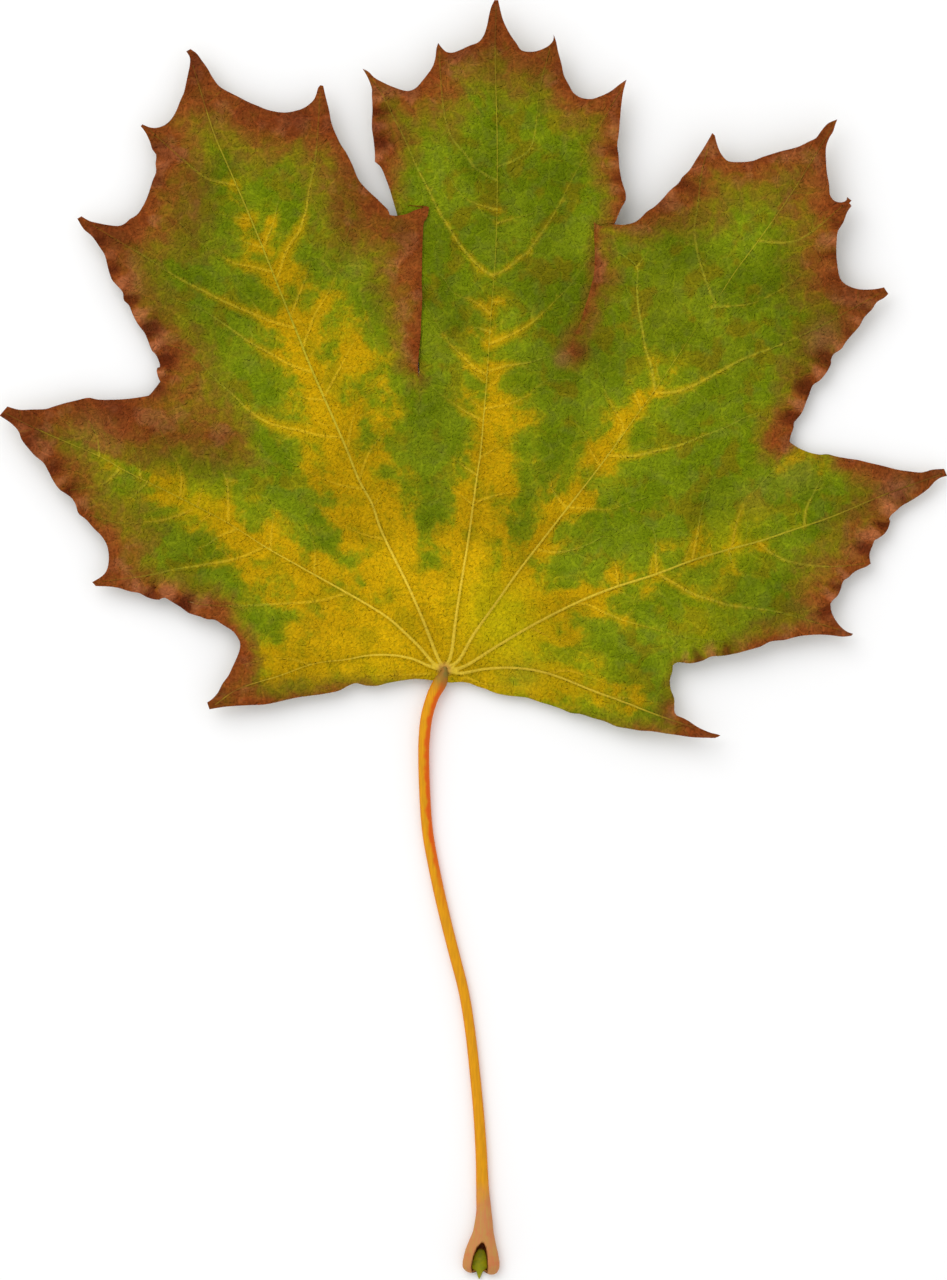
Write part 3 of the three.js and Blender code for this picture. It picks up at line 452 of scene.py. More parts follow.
def spaced_curve(points, step):
    """Points about step apart on the smooth curve through points (centripetal Catmull-Rom)."""
    p = np.asarray(points, float)
    p = np.vstack([2 * p[0] - p[1], p, 2 * p[-1] - p[-2]])
    t = np.linspace(0, 1, CURVE_PARTS + 1)[:-1, None]
    pieces = []
    for a, b, c, d in zip(p, p[1:], p[2:], p[3:]):
        tb = math.sqrt(np.linalg.norm(b - a))
        tc = tb + math.sqrt(np.linalg.norm(c - b))
        td = tc + math.sqrt(np.linalg.norm(d - c))
        u = tb + (tc - tb) * t
        ab = ((tb - u) * a + u * b) / tb
        bc = ((tc - u) * b + (u - tb) * c) / (tc - tb)
        cd = ((td - u) * c + (u - tc) * d) / (td - tc)
        abc = ((tc - u) * ab + u * bc) / tc
        bcd = ((td - u) * bc + (u - tb) * cd) / (td - tb)
        pieces.append(((tc - u) * abc + (u - tb) * bcd) / (tc - tb))
    dense = np.vstack(pieces + [p[-2:-1]])
    along = arc_lengths(dense)
    stops = np.linspace(0, along[-1], max(1, round(along[-1] / step)) + 1)
    return np.column_stack([np.interp(stops, along, column) for column in dense.T])


def beside(line, offset):
    """The points of a polyline, moved sideways."""
    heading = headings(line)
    return line + offset * np.column_stack([-heading[:, 1], heading[:, 0]])


def slide_at(flap, y):
    return flap["slope"] * np.clip(y - flap["root_y"], 0, SLIDE_RISE)


def flatten(flap, xy):
    """From the leaf as it lies to the flat sheet, in which the lobes are apart."""
    xy = np.array(xy, float)
    inboard = flap["inwards"] * (flap["edge_x"] - xy[:, 0])
    share = np.clip(1 - inboard / SLIDE_REACH, 0, 1)
    xy[:, 0] -= flap["inwards"] * slide_at(flap, xy[:, 1]) * share
    return xy


def draw_across(flap, xy):
    """From the flat sheet to the leaf as it lies."""
    xy = np.array(xy, float)
    slide = slide_at(flap, xy[:, 1])
    flat = flap["inwards"] * (flap["edge_x"] - xy[:, 0])
    inner = np.minimum(flat, (flat - slide) / (1 - slide / SLIDE_REACH))
    inboard = np.where(flat < slide, flat - slide, inner)
    xy[:, 0] = flap["edge_x"] - flap["inwards"] * inboard
    return xy


def past_slit(flap, xy):
    """How far the points of the flat sheet lie inwards of that lobe's slit, negative on the lobe."""
    ys, xs = zip(*flap["slit"])
    return flap["inwards"] * (xy[:, 0] - np.interp(xy[:, 1], ys, xs))


def lie_down(xy):
    """Plan position and lift of each point of the flat sheet as the leaf lies."""
    lying = np.array(xy, float)
    lift = np.zeros(len(xy))
    for flap in FLAPS.values():
        there = (xy[:, 1] > flap["root_y"]) & (past_slit(flap, xy) < 0)
        lying[there] = draw_across(flap, xy[there])
        inboard = flap["inwards"] * (flap["edge_x"] - lying[there, 0])
        rise = smooth01((lying[there, 1] - flap["root_y"]) / FLAP_RAMP)
        lift[there] = FLAP_LIFT * rise * (1 - smooth01(inboard / SLIDE_REACH))
    return lying, lift


def underside(x, y):
    """Height of the lamina's underside above the surface, as in the CAD model."""
    height = np.full(len(x), WAVE_LEVEL - LOWEST_LAMINA)
    for size, length, direction, phase in WAVES:
        a, b = math.radians(direction), math.radians(phase)
        height += size * np.cos(2 * math.pi * (x * math.cos(a) + y * math.sin(a)) / length + b)
    levelled = (height + np.sqrt(height ** 2 + TOUCHDOWN ** 2)) / 2
    return LOWEST_LAMINA + levelled + TIP_CURL * (np.hypot(x, y) / CURL_RADIUS) ** 4


def inside(points, outline):
    """True for points in the closed outline: a line to their left crosses it an odd number of times."""
    x, y = points[:, 0], points[:, 1]
    odd = np.zeros(len(points), bool)
    for (x0, y0), (x1, y1) in zip(outline, np.roll(outline, -1, axis=0)):
        spans = (y0 > y) != (y1 > y)
        if y0 != y1:
            odd ^= spans & (x > x0 + (y - y0) * (x1 - x0) / (y1 - y0))
    return odd


def nearest(points, targets):
    """Distance from each point to the nearest target, and that target's index."""
    tree = KDTree(len(targets))
    for i, (x, y) in enumerate(targets):
        tree.insert((x, y, 0), i)
    tree.balance()
    found = [tree.find((x, y, 0)) for x, y in points]
    return np.array([f[2] for f in found]), np.array([f[1] for f in found])


def smooth_noise(xy, size, seed):
    """Soft noise of about -1 to 1, with features of that size in millimetres."""
    return np.array([noise.noise(Vector((x / size, y / size, seed))) for x, y in xy])


def circle_field(xy, circles, lowest):
    """How deep each point lies in the circle (x, y, radius) it is deepest in, in millimetres."""
    field = np.full(len(xy), float(lowest))
    for x, y, radius in circles:
        field = np.maximum(field, radius - np.hypot(xy[:, 0] - x, xy[:, 1] - y))
    return field


def patch_field(xy, patches):
    """Sum of soft round patches."""
    field = np.zeros(len(xy))
    for x, y, radius, strength in patches:
        field += strength * np.exp(-((xy[:, 0] - x) ** 2 + (xy[:, 1] - y) ** 2) / radius ** 2)
    return field


# ---- Materials
def rgb(red, green, blue):
    """A display colour of 0 to 255 as the linear colour that a shader takes."""
    channels = [v / 255 for v in (red, green, blue)]
    return [v / 12.92 if v <= 0.04045 else ((v + 0.055) / 1.055) ** 2.4 for v in channels] + [1.0]


class Shader:
    """A material whose nodes are added by short calls. Inputs are numbers, colours or sockets."""

    def __init__(self, name):
        self.material = bpy.data.materials.new(name)
        self.material.use_nodes = True
        self.tree = self.material.node_tree
        self.tree.nodes.clear()

    def add(self, kind, inputs, **settings):
        made = self.tree.nodes.new("ShaderNode" + kind)
        for name, value in settings.items():
            setattr(made, name, value)
        for name, value in inputs.items():
            if isinstance(value, bpy.types.NodeSocket):
                self.tree.links.new(value, made.inputs[name])
            else:
                made.inputs[name].default_value = value
        return made.outputs

    def attribute(self, name):
        return self.add("Attribute", {}, attribute_name=name)["Fac"]

    def millimetres(self):
        """The place on the piece, in millimetres."""
        place = self.add("TexCoord", {})["Object"]
        return self.add("VectorMath", {0: place, "Scale": 1 / MM}, operation="SCALE")[0]

    def math(self, operation, a, b=0.0, c=0.0):
        return self.add("Math", {0: a, 1: b, 2: c}, operation=operation)[0]

    def times(self, a, b):
        return self.math("MULTIPLY", a, b)

    def sway(self, value, size):
        """Noise of 0 to 1 made to run from minus half that size to half of it."""
        return self.math("MULTIPLY_ADD", value, size, -size / 2)

    def step(self, value, start, end, low=0.0, high=1.0):
        """low up to start, high from end, and a smooth step between."""
        return self.add("MapRange", {"Value": value, "From Min": start, "From Max": end,
                                     "To Min": low, "To Max": high}, interpolation_type="SMOOTHSTEP")[0]

    def near(self, distance, start, end):
        """1 up to the distance start, 0 from end, and a smooth step between."""
        return self.step(distance, start, end, 1.0, 0.0)

    def mix(self, share, a, b, blend="MIX"):
        return self.add("Mix", {0: share, 6: a, 7: b}, data_type="RGBA", blend_type=blend)[2]

    def multiplied(self, colour, factors):
        return self.mix(1.0, colour, factors, "MULTIPLY")

    def layers(self, colour, table, values):
        """Lays the colours of a table of layers over a colour, one after the other."""
        for value, start, end, low, high, tint in table:
            colour = self.mix(self.step(values[value], start, end, low, high), colour, tint)
        return colour

    def noise(self, place, size, detail=2.0, distortion=0.0):
        """Noise of 0 to 1, with features of about that size in millimetres."""
        return self.add("TexNoise", {"Vector": place, "Scale": 1 / size, "Detail": detail,
                                     "Distortion": distortion}, noise_dimensions="2D")[0]

    def cells(self, place, size):
        """Distance to the edges of cells of about that size, as a share of it."""
        return self.add("TexVoronoi", {"Vector": place, "Scale": 1 / size}, voronoi_dimensions="2D",
                        feature="DISTANCE_TO_EDGE")["Distance"]

    def bumps(self, *heights):
        """A normal bent by each height in turn, given as the height and its depth in millimetres."""
        normal = None
        for height, depth in heights:
            inputs = {"Height": height, "Distance": depth * MM, "Strength": 1.0}
            if normal is not None:
                inputs["Normal"] = normal
            normal = self.add("Bump", inputs)[0]
        return normal

    def finish(self, colour, normal, roughness, specular):
        surface = self.add("BsdfPrincipled", {"Base Color": colour, "Normal": normal,
                                              "Roughness": roughness, "Specular IOR Level": specular})[0]
        self.add("OutputMaterial", {"Surface": surface})
        return self.material


# Numbers kept on the blade's vertices for its materials.
BLADE_FIELDS = ("rib", "rib_width", "vein", "vein_width", "veinlet", "yellow", "glow", "rust", "ripple",
                "relief", "dark", "painted_sheen", "lime", "junction")
# Noise on the lamina: size in millimetres, detail and distortion.
LAMINA_NOISE = {
    "broad": (9.0, 3.0), "patchy": (5.0, 4.0), "middling": (2.4, 3.0, 0.4), "fine": (0.8, 3.0),
    "grainy": (0.45, 2.0),
}
# Cells of the vein net and of the leathery grain, in millimetres, and the warp that they share.
LAMINA_CELLS = {"net": 2.9, "small_net": 1.25, "grain": 0.62}
WARP_SCALE = 0.3
WARP_REACH = (2.4, 2.4, 0)

# Layers of colour: what they follow, where they start and end, their share at both, and the colour.
GREEN = rgb(98, 115, 4)
GREEN_LAYERS = [
    ("broad", 0.35, 0.65, 0, 1, rgb(115, 130, 12)),
    ("middling", 0.45, 0.75, 0, 0.5, rgb(102, 112, 30)),
    ("patchy", 0.5, 0.66, 0, 0.7, rgb(118, 104, 8)),
    ("zone", -5.5, 0, 0, 0.65, rgb(134, 136, 8)),
]
GOLD = rgb(188, 148, 3)
GOLD_LAYERS = [
    ("yellow", 1, 8, 0, 1, rgb(203, 161, 4)),
    ("patchy", 0.52, 0.34, 0, 0.6, rgb(158, 138, 4)),
    ("fine", 0.5, 0.7, 0, 0.45, rgb(146, 132, 6)),
]
LIME = rgb(200, 190, 8)
OLIVE = rgb(124, 106, 14)
OLIVE_LAYERS = [("middling", 0.35, 0.65, 0, 1, rgb(118, 94, 22))]
RUST = rgb(137, 74, 28)
RUST_LAYERS = [
    ("patchy", 0.3, 0.7, 0, 1, rgb(125, 61, 16)),
    ("patchy", 0.5, 0.68, 0, 0.6, rgb(160, 100, 58)),
    ("middling", 0.45, 0.25, 0, 0.6, rgb(106, 46, 12)),
    ("burnt", 0.95, 1.7, 0, 0.6, rgb(112, 46, 16)),
    ("fine", 0.5, 0.75, 0, 0.5, rgb(96, 40, 12)),
]
# The colour of the painted highlights (sheen), above and below.
PAINTED_SHEEN_ABOVE = rgb(166, 110, 76)
PAINTED_SHEEN_BELOW = rgb(170, 140, 90)
# Painted shade in the valleys of the margin's ripples, and a painted highlight on their crests.
RIPPLE_PAINTED_SHADE_AND_HIGHLIGHT = [
    ("ripple", -0.05, -0.5, 0, 0.7, rgb(92, 34, 10)),
    ("ripple", 0.1, 0.6, 0, 0.6, rgb(172, 104, 64)),
]
DARK = rgb(88, 34, 14)
RIB_AT_BASE = rgb(216, 184, 52)
RIB_AT_TIP = rgb(174, 162, 38)
RIB_IN_RUST = rgb(124, 80, 28)
VEIN_IN_GREEN = rgb(148, 152, 38)
VEIN_IN_GOLD = rgb(208, 170, 24)
VEIN_IN_RUST = rgb(134, 98, 26)
BARE_SKIN = rgb(176, 122, 66)
UNDERSIDE = rgb(176, 172, 110)
UNDERSIDE_SHARE = 0.42
# What the net lightens by, and the ribs' shade and the grain darken by.
NET_LIGHT = (1.7, 1.55, 1.6, 1.0)
RIB_SHADE = (0.72, 0.72, 0.5, 1.0)
GRAIN_SHADE = (0.72, 0.72, 0.6, 1.0)


def lamina_values(s):
    """What the lamina's layers follow: its fields, its noise, and what is worked out from them."""
    place = s.millimetres()
    v = {name: s.attribute(name) for name in BLADE_FIELDS}
    v.update({name: s.noise(place, *shape) for name, shape in LAMINA_NOISE.items()})
    warp = s.add("TexNoise", {"Vector": place, "Scale": WARP_SCALE, "Detail": 3.0}, noise_dimensions="2D")
    warped = s.add("VectorMath", {0: warp["Color"], 1: WARP_REACH, 2: place}, operation="MULTIPLY_ADD")[0]
    v.update({name: s.cells(warped, size) for name, size in LAMINA_CELLS.items()})
    v["rib_place"] = s.math("DIVIDE", v["rib"], v["rib_width"])
    v["vein_place"] = s.math("DIVIDE", v["vein"], v["vein_width"])
    v["rib_line"] = s.near(v["rib_place"], 0.6, 1.3)
    v["vein_line"] = s.near(v["vein_place"], 0.5, 1.5)
    v["veinlet_line"] = s.near(v["veinlet"], 0.04, 0.24)

    # Gold spreads along the veins and the veinlets, with a frayed edge.
    frayed = s.math("MULTIPLY_ADD", s.near(v["veinlet"], 0.0, 1.0), 1.5, s.sway(v["fine"], 3.4))
    zone = s.math("ADD", v["yellow"], s.math("MULTIPLY_ADD", v["patchy"], 14.0, -7.5))
    zone = s.math("ADD", zone, s.sway(v["middling"], 5.0))
    zone = s.math("MULTIPLY_ADD", s.near(v["vein"], 0.0, 1.6), 1.8, zone)
    v["zone"] = s.math("ADD", zone, frayed)
    v["glow"] = s.math("MULTIPLY_ADD", frayed, 0.22, v["glow"])
    v["gold"] = s.math("MAXIMUM", s.step(v["zone"], -1.9, 2.9), s.step(v["glow"], -0.8, 0.9, 0.0, 0.85))

    # Rust has an olive seam, and burns darker at the margin.
    rust_edge = s.math("ADD", v["rust"], s.sway(v["broad"], 1.4))
    rust_edge = s.math("ADD", rust_edge, s.sway(v["middling"], 0.9))
    v["olive"] = s.step(rust_edge, -1.05, 0.0, 0.0, 0.78)
    v["rusty"] = s.step(rust_edge, -0.32, 0.95)
    v["burnt"] = s.math("ADD", rust_edge, s.times(v["patchy"], 0.6))
    v["browned"] = s.math("MAXIMUM", v["rusty"], s.times(v["olive"], 0.6))
    return v


def lamina_ground(s, v, painted_sheen):
    """Green turning golden along the veins and reddish brown at the margin."""
    gold = s.layers(GOLD, GOLD_LAYERS, v)
    colour = s.mix(v["gold"], s.layers(GREEN, GREEN_LAYERS, v), gold)
    colour = s.mix(v["lime"], colour, LIME)
    colour = s.mix(v["olive"], colour, s.layers(OLIVE, OLIVE_LAYERS, v))
    colour = s.mix(v["rusty"], colour, s.layers(RUST, RUST_LAYERS, v))
    # Painted highlights of sheen where the pale patches lie.
    colour = s.mix(s.step(v["painted_sheen"], 0.1, 0.9, 0.0, 0.6), colour, painted_sheen)
    # Painted shade and painted highlight on the margin's ripples.
    colour = s.layers(colour, RIPPLE_PAINTED_SHADE_AND_HIGHLIGHT, v)
    return s.mix(v["dark"], colour, DARK)


def lamina_veins(s, v, colour):
    """The net of small veins, then the veinlets, side veins and ribs, and a shade beside the ribs."""
    lighter = s.multiplied(colour, NET_LIGHT)
    net_share = s.step(v["gold"], 0.2, 0.9, 0.34, 0.12)
    colour = s.mix(s.times(s.near(v["net"], 0.02, 0.1), net_share), colour, lighter)
    small_share = s.times(net_share, 0.4)
    colour = s.mix(s.times(s.near(v["small_net"], 0.02, 0.16), small_share), colour, lighter)
    from_base = s.step(v["junction"], 10.0, 70.0)
    rib_colour = s.mix(v["browned"], s.mix(from_base, RIB_AT_BASE, RIB_AT_TIP), RIB_IN_RUST)
    vein_colour = s.mix(v["browned"], s.mix(v["gold"], VEIN_IN_GREEN, VEIN_IN_GOLD), VEIN_IN_RUST)
    rib_side = s.times(s.step(v["rib_place"], 0.9, 1.5), s.step(v["rib_place"], 3.2, 1.7))
    for line, strength, tint in (
        (v["veinlet_line"], s.step(v["glow"], -1.2, 0.2, 0.22, 0.5), vein_colour),
        (v["vein_line"], s.step(v["glow"], -1.0, 0.3, 0.4, 0.85), vein_colour),
        (rib_side, s.step(from_base, 0.0, 0.7, 0.45, 0.1), s.multiplied(colour, RIB_SHADE)),
        (v["rib_line"], s.step(v["zone"], -4.0, 1.0, 0.75, 0.95), rib_colour),
    ):
        colour = s.mix(s.times(line, strength), colour, tint)
    return colour


def lamina_grain(s, v, colour):
    """A leathery grain, speckles, and painted light on the relief's crests and painted shade in its hollows.
    """
    grain_share = s.times(s.near(v["grain"], 0.0, 0.3), s.step(v["rib_line"], 0.2, 0.8, 0.27, 0.05))
    colour = s.mix(grain_share, colour, s.multiplied(colour, GRAIN_SHADE))
    # The grainy part is random speckle; the relief part paints light on crests and shade in hollows.
    speckle_and_relief_shade = s.times(s.step(v["grainy"], 0.3, 0.7, 0.89, 1.11), s.step(v["relief"], -0.4, 0.4, 0.86, 1.14))
    grey = s.add("CombineColor", {0: speckle_and_relief_shade, 1: speckle_and_relief_shade, 2: speckle_and_relief_shade})[0]
    return s.multiplied(colour, grey)


def lamina_material(name, upper):
    """The skin of the lamina, paler and duller below than above."""
    s = Shader(name)
    v = lamina_values(s)
    colour = lamina_ground(s, v, PAINTED_SHEEN_ABOVE if upper else PAINTED_SHEEN_BELOW)
    colour = lamina_grain(s, v, lamina_veins(s, v, colour))
    colour = s.mix(s.step(v["junction"], 0.4, 1.7, 0.8, 0.0), colour, BARE_SKIN)
    if not upper:
        colour = s.mix(UNDERSIDE_SHARE, colour, UNDERSIDE)
    off_rib = s.step(v["rib_line"], 0.1, 0.9, 1.0, 0.15)
    normal = s.bumps(
        (s.step(v["net"], 0.0, 0.3), 0.08),
        (s.near(v["rib_place"], 0.0, 1.9), 0.2),
        (s.near(v["vein_place"], 0.0, 2.0), 0.1),
        (v["veinlet_line"], -0.04),
        (s.step(v["small_net"], 0.0, 0.4), 0.05),
        (s.times(s.step(v["grain"], 0.0, 0.5), off_rib), 0.14),
        (s.times(v["grainy"], off_rib), 0.14),
    )
    roughness = s.step(v["fine"], 0.2, 0.8, 0.5, 0.66) if upper else 0.75
    return s.finish(colour, normal, roughness, 0.03)


RIB_SKIN = rgb(196, 184, 96)
RIB_LAYERS = [
    ("streak", 0.3, 0.7, 0, 1, rgb(178, 158, 70)),
    ("rust", -0.2, 0.6, 0, 1, rgb(150, 104, 58)),
]
STALK_GOLD = rgb(222, 152, 10)
STALK_GOLD_LAYERS = [("streak", 0.3, 0.7, 0, 1, rgb(206, 140, 14))]
STALK_RED = rgb(216, 90, 14)
STALK_RIM_LAYERS = [("rim", 0.62, 1, 0, 0.55, rgb(222, 120, 8))]
STALK_TOP = rgb(150, 106, 40)
STALK_TOP_LAYERS = [("blotch", 0.4, 0.6, 0, 1, rgb(128, 108, 44))]
FOOT = rgb(196, 126, 76)
FOOT_LAYERS = [
    ("streak", 0.35, 0.65, 0, 1, rgb(190, 138, 74)),
    ("blotch", 0.5, 0.7, 0, 0.5, rgb(200, 112, 70)),
]
# Painted shade: dark brown in the hollow of the foot, stronger where the hollow is deeper.
HOLLOW_PAINTED_SHADE_LAYERS = [("hollow", 0.15, 0.5, 0, 1, rgb(104, 48, 6))]
STREAK_STRETCH = (1.0, 0.12, 1.0)
TISSUE = rgb(152, 148, 12)
TISSUE_LAYERS = [
    ("blotch", 0.35, 0.65, 0, 1, rgb(134, 138, 20)),
    ("rim", 0.55, 1, 0, 1, rgb(104, 52, 6)),
]


def rib_material():
    """Pale yellowish skin of the ribs under the blade."""
    s = Shader("rib_skin")
    place = s.millimetres()
    v = {"streak": s.noise(place, 1.5, 3.0), "rust": s.attribute("rust")}
    return s.finish(s.layers(RIB_SKIN, RIB_LAYERS, v), s.bumps((s.noise(place, 0.5), 0.05)), 0.55, 0.3)


def stalk_material():
    """Golden orange skin with a redder streak on its right, greyish at the top and pinkish at the foot, with
    painted shade in the foot's hollow.
    """
    s = Shader("stalk_skin")
    place = s.millimetres()
    v = {name: s.attribute(name) for name in ("along", "across", "hollow")}
    stretched = s.add("Mapping", {"Vector": place, "Scale": STREAK_STRETCH})[0]
    v["streak"] = s.noise(stretched, 0.35, 3.0)
    v["blotch"] = s.noise(place, 2.0, 3.0)
    v["rim"] = s.math("ABSOLUTE", v["across"])
    red_reach = s.math("MULTIPLY_ADD", s.math("SUBTRACT", v["blotch"], 0.5), 1.1, v["across"])
    red_share = s.times(s.step(red_reach, -0.15, 0.55), s.near(v["along"], 30.0, 46.0))
    colour = s.mix(red_share, s.layers(STALK_GOLD, STALK_GOLD_LAYERS, v), STALK_RED)
    colour = s.layers(colour, STALK_RIM_LAYERS, v)
    colour = s.mix(s.near(v["along"], 1.0, 5.0), colour, s.layers(STALK_TOP, STALK_TOP_LAYERS, v))
    foot_share = s.step(s.math("MULTIPLY_ADD", v["blotch"], 5.0, v["along"]), 89.5, 97.0)
    colour = s.mix(foot_share, colour, s.layers(FOOT, FOOT_LAYERS, v))
    # Painted shade in the hollow of the foot.
    colour = s.layers(colour, HOLLOW_PAINTED_SHADE_LAYERS, v)
    return s.finish(colour, s.bumps((v["streak"], 0.05), (s.noise(place, 0.3), 0.02)), 0.5, 0.12)


def tongue_material():
    """Olive green tissue left in the hollow of the foot, brown at its rim."""
    s = Shader("foot_tissue")
    v = {"blotch": s.noise(s.millimetres(), 0.8, 3.0), "rim": s.attribute("rim")}
    return s.finish(s.layers(TISSUE, TISSUE_LAYERS, v), s.bumps((v["blotch"], 0.1)), 0.5, 0.1)


def floor_material():
    """Nearly white, and matt."""
    s = Shader("floor")
    place = s.millimetres()
    colour = s.mix(s.noise(place, 60.0), rgb(252, 252, 252), rgb(250, 250, 250))
    return s.finish(colour, s.bumps((s.noise(place, 4.0), 0.01)), 0.8, 0.1)


# ---- Meshes
SHARP_ANGLE = 55


def add_mesh(name, vertices, faces, materials, face_materials=None):
    """A smooth object from vertices in millimetres of the plan."""
    mesh = bpy.data.meshes.new(name)
    placed = (np.asarray(vertices) + PLAN_SHIFT) * MM
    mesh.from_pydata([tuple(v) for v in placed], [], [tuple(int(i) for i in f) for f in faces])
    for material in materials:
        mesh.materials.append(material)
    if face_materials is not None:
        mesh.polygons.foreach_set("material_index", np.asarray(face_materials, np.int32))
    mesh.polygons.foreach_set("use_smooth", np.ones(len(mesh.polygons), bool))
    mesh.set_sharp_from_angle(angle=math.radians(SHARP_ANGLE))
    mesh.update()
    return add_object(name, mesh)


def add_object(name, data):
    made = bpy.data.objects.new(name, data)
    bpy.context.scene.collection.objects.link(made)
    return made


def store(piece, values):
    """Keeps one number a vertex for the material to read."""
    for name, numbers in values.items():
        layer = piece.data.attributes.new(name, "FLOAT", "POINT")
        layer.data.foreach_set("value", np.asarray(numbers, np.float32))


# ---- Blade
SIDE_VEIN_LINES = [points for _, points in SIDE_VEINS]
MARGIN_STEP = 0.5
VEIN_STEP = 0.6
VEIN_TO_MARGIN = 0.45
# Left of the left slit, and a little beyond it, veins belong to the lobe; on the right from this x on.
LEFT_VEINS_BEYOND = 3
RIGHT_VEINS_FROM = 27
# Rows of points on both sides of a vein, and a grid between, keep clear of what was there before.
ROW_OFFSET = 0.4
ROW_CLEARANCE = 0.8 * ROW_OFFSET
GRID_STEP = 0.72
GRID_SHAKE = 0.12
GRID_CLEARANCE = 0.62 * GRID_STEP
WELD = 1e-5

# Veinlets: their gap along a rib or side vein, and their shortest and longest length.
RIB_VEINLET_GAP = 2.6
RIB_VEINLET_LENGTHS = (1.6, 5.2)
SIDE_VEINLET_GAP = 1.15 * RIB_VEINLET_GAP
SIDE_VEINLET_LENGTHS = (1.2, 3.4)
VEINLET_SHIFT = 0.35  # along the vein, as a share of the gap
VEINLET_STEP = 0.5
VEINLET_TURN = (48, 78)  # degrees from the vein's direction
VEINLET_BEND = (2, 14)  # degrees a millimetre, back towards that direction
VEINLET_WOBBLE = 0.16
VEINLET_CLEARANCE = 0.42

# Widths of the drawn veins: shares of the length, and half widths there.
RIB_WIDTHS = ([0, 0.1, 0.5, 1], [0.3, 0.22, 0.18, 0.11])
SIDE_VEIN_WIDTHS = ([0, 0.5, 1], [0.24, 0.18, 0.1])

BAND_STEP = 1.5
NO_BAND = -20
# A side vein's glow: its reach times the start, less the fall by the share of the length gone.
GLOW_STEP = 0.8
GLOW_START = 1.35
GLOW_FALL = 2.2
GLOW_EDGE = 0.3
NO_GLOW = -8
NARROWEST_RUST = 2.5
NO_RUST = -2
PATCH_UNIT = 8.0
DARKEST = 0.9

# Ripples of the margin: length of a wave, and how its phase drifts; they fade inwards.
RIPPLE_LENGTH = 5.1
RIPPLE_DRIFT = 1.7
DRIFT_LENGTH = 7.3
RIPPLE_DEPTH = 3.0

# Relief: a pillow between the veins, ridges on them, and crumples (height, size, seed).
PILLOW = 0.22
RIB_VALLEY = (0.3, 1.6)
VEIN_VALLEY = (0.26, 1.7)
RIB_RIDGE = (0.16, 1.2)  # height, and how many times as wide as the rib
VEIN_RIDGE = (0.07, 1.6)
VEINLET_GROOVE = (0.05, 0.6)
CRUMPLES = [(0.4, 6.5, 3.5), (0.09, 2.4, 9.5), (0.8, 13.0, 5.5)]
MARGIN_RELIEF = 0.2
FULL_RELIEF_FROM = 1.5


def margin_outline():
    """The closed margin of the flat sheet."""
    lobes = [(LEFT_BASAL_MARGIN, None), (LEFT_SIDE_MARGIN, None), (UPPER_LEFT_MARGIN, "left"),
             (CENTRAL_MARGIN, None), (UPPER_RIGHT_MARGIN, "right"), (RIGHT_SIDE_MARGIN, None),
             (RIGHT_BASAL_MARGIN, None)]
    runs = []
    for lobe, flap in lobes:
        runs += [flatten(FLAPS[flap], run) if flap else np.array(run, float) for run in lobe]
    closed = zip(runs, runs[1:] + runs[:1])
    return np.vstack([spaced_curve(np.vstack([run, following[:1]]), MARGIN_STEP)[:-1]
                      for run, following in closed])


def flat_vein(points, step):
    """A vein of the lying leaf, drawn on the flat sheet."""
    line = spaced_curve(points, step)
    middle = line[len(line) // 2]
    left, right = FLAPS["left"], FLAPS["right"]
    if middle[1] > left["root_y"] and past_slit(left, middle[None])[0] < LEFT_VEINS_BEYOND:
        return flatten(left, line)
    if middle[1] > right["root_y"] and middle[0] > RIGHT_VEINS_FROM:
        return flatten(right, line)
    return line


def wandering_path(shake, start, heading, side, gap, lengths):
    """A veinlet that leaves a vein near start, towards that side."""
    turn = side * math.radians(shake.uniform(*VEINLET_TURN))
    bend = -side * math.radians(shake.uniform(*VEINLET_BEND))
    tip = start + shake.uniform(-VEINLET_SHIFT, VEINLET_SHIFT) * gap * heading
    course = math.atan2(heading[1], heading[0]) + turn
    path = []
    for _ in range(int(shake.uniform(*lengths) / VEINLET_STEP)):
        tip = tip + VEINLET_STEP * np.array([math.cos(course), math.sin(course)])
        path.append(tip)
        course += bend * VEINLET_STEP + shake.uniform(-VEINLET_WOBBLE, VEINLET_WOBBLE)
    return np.array(path)


def draw_veinlets():
    """Short veins that leave the ribs and side veins on both sides, as the leaf lies."""
    shake = np.random.default_rng(11)
    sources = [(points, RIB_VEINLET_GAP, RIB_VEINLET_LENGTHS) for points in RIBS]
    sources += [(points, SIDE_VEINLET_GAP, SIDE_VEINLET_LENGTHS) for points in SIDE_VEIN_LINES]
    taken = np.vstack([spaced_curve(points, VEIN_STEP) for points, *_ in sources])
    drawn = []
    for points, gap, lengths in sources:
        line = spaced_curve(points, gap)
        heading = headings(line)
        for i in range(1, len(line) - 1):
            path = wandering_path(shake, line[i], heading[i], 1 if i % 2 else -1, gap, lengths)
            clear = nearest(path, taken)[0] > VEINLET_CLEARANCE
            free = len(path) if clear.all() else int(np.argmin(clear))
            if free > 2:
                drawn.append(path[:free])
                taken = np.vstack([taken, path[:free]])
    return drawn


def blade_lines(outline, veinlets):
    """Ribs, side veins and veinlets on the flat sheet, where they keep clear of the margin."""
    lines = [flat_vein(points, VEIN_STEP) for points in [*RIBS, *SIDE_VEIN_LINES, *veinlets]]
    lines = [line[nearest(line, outline)[0] > VEIN_TO_MARGIN] for line in lines]
    return [line for line in lines if len(line) > 2]


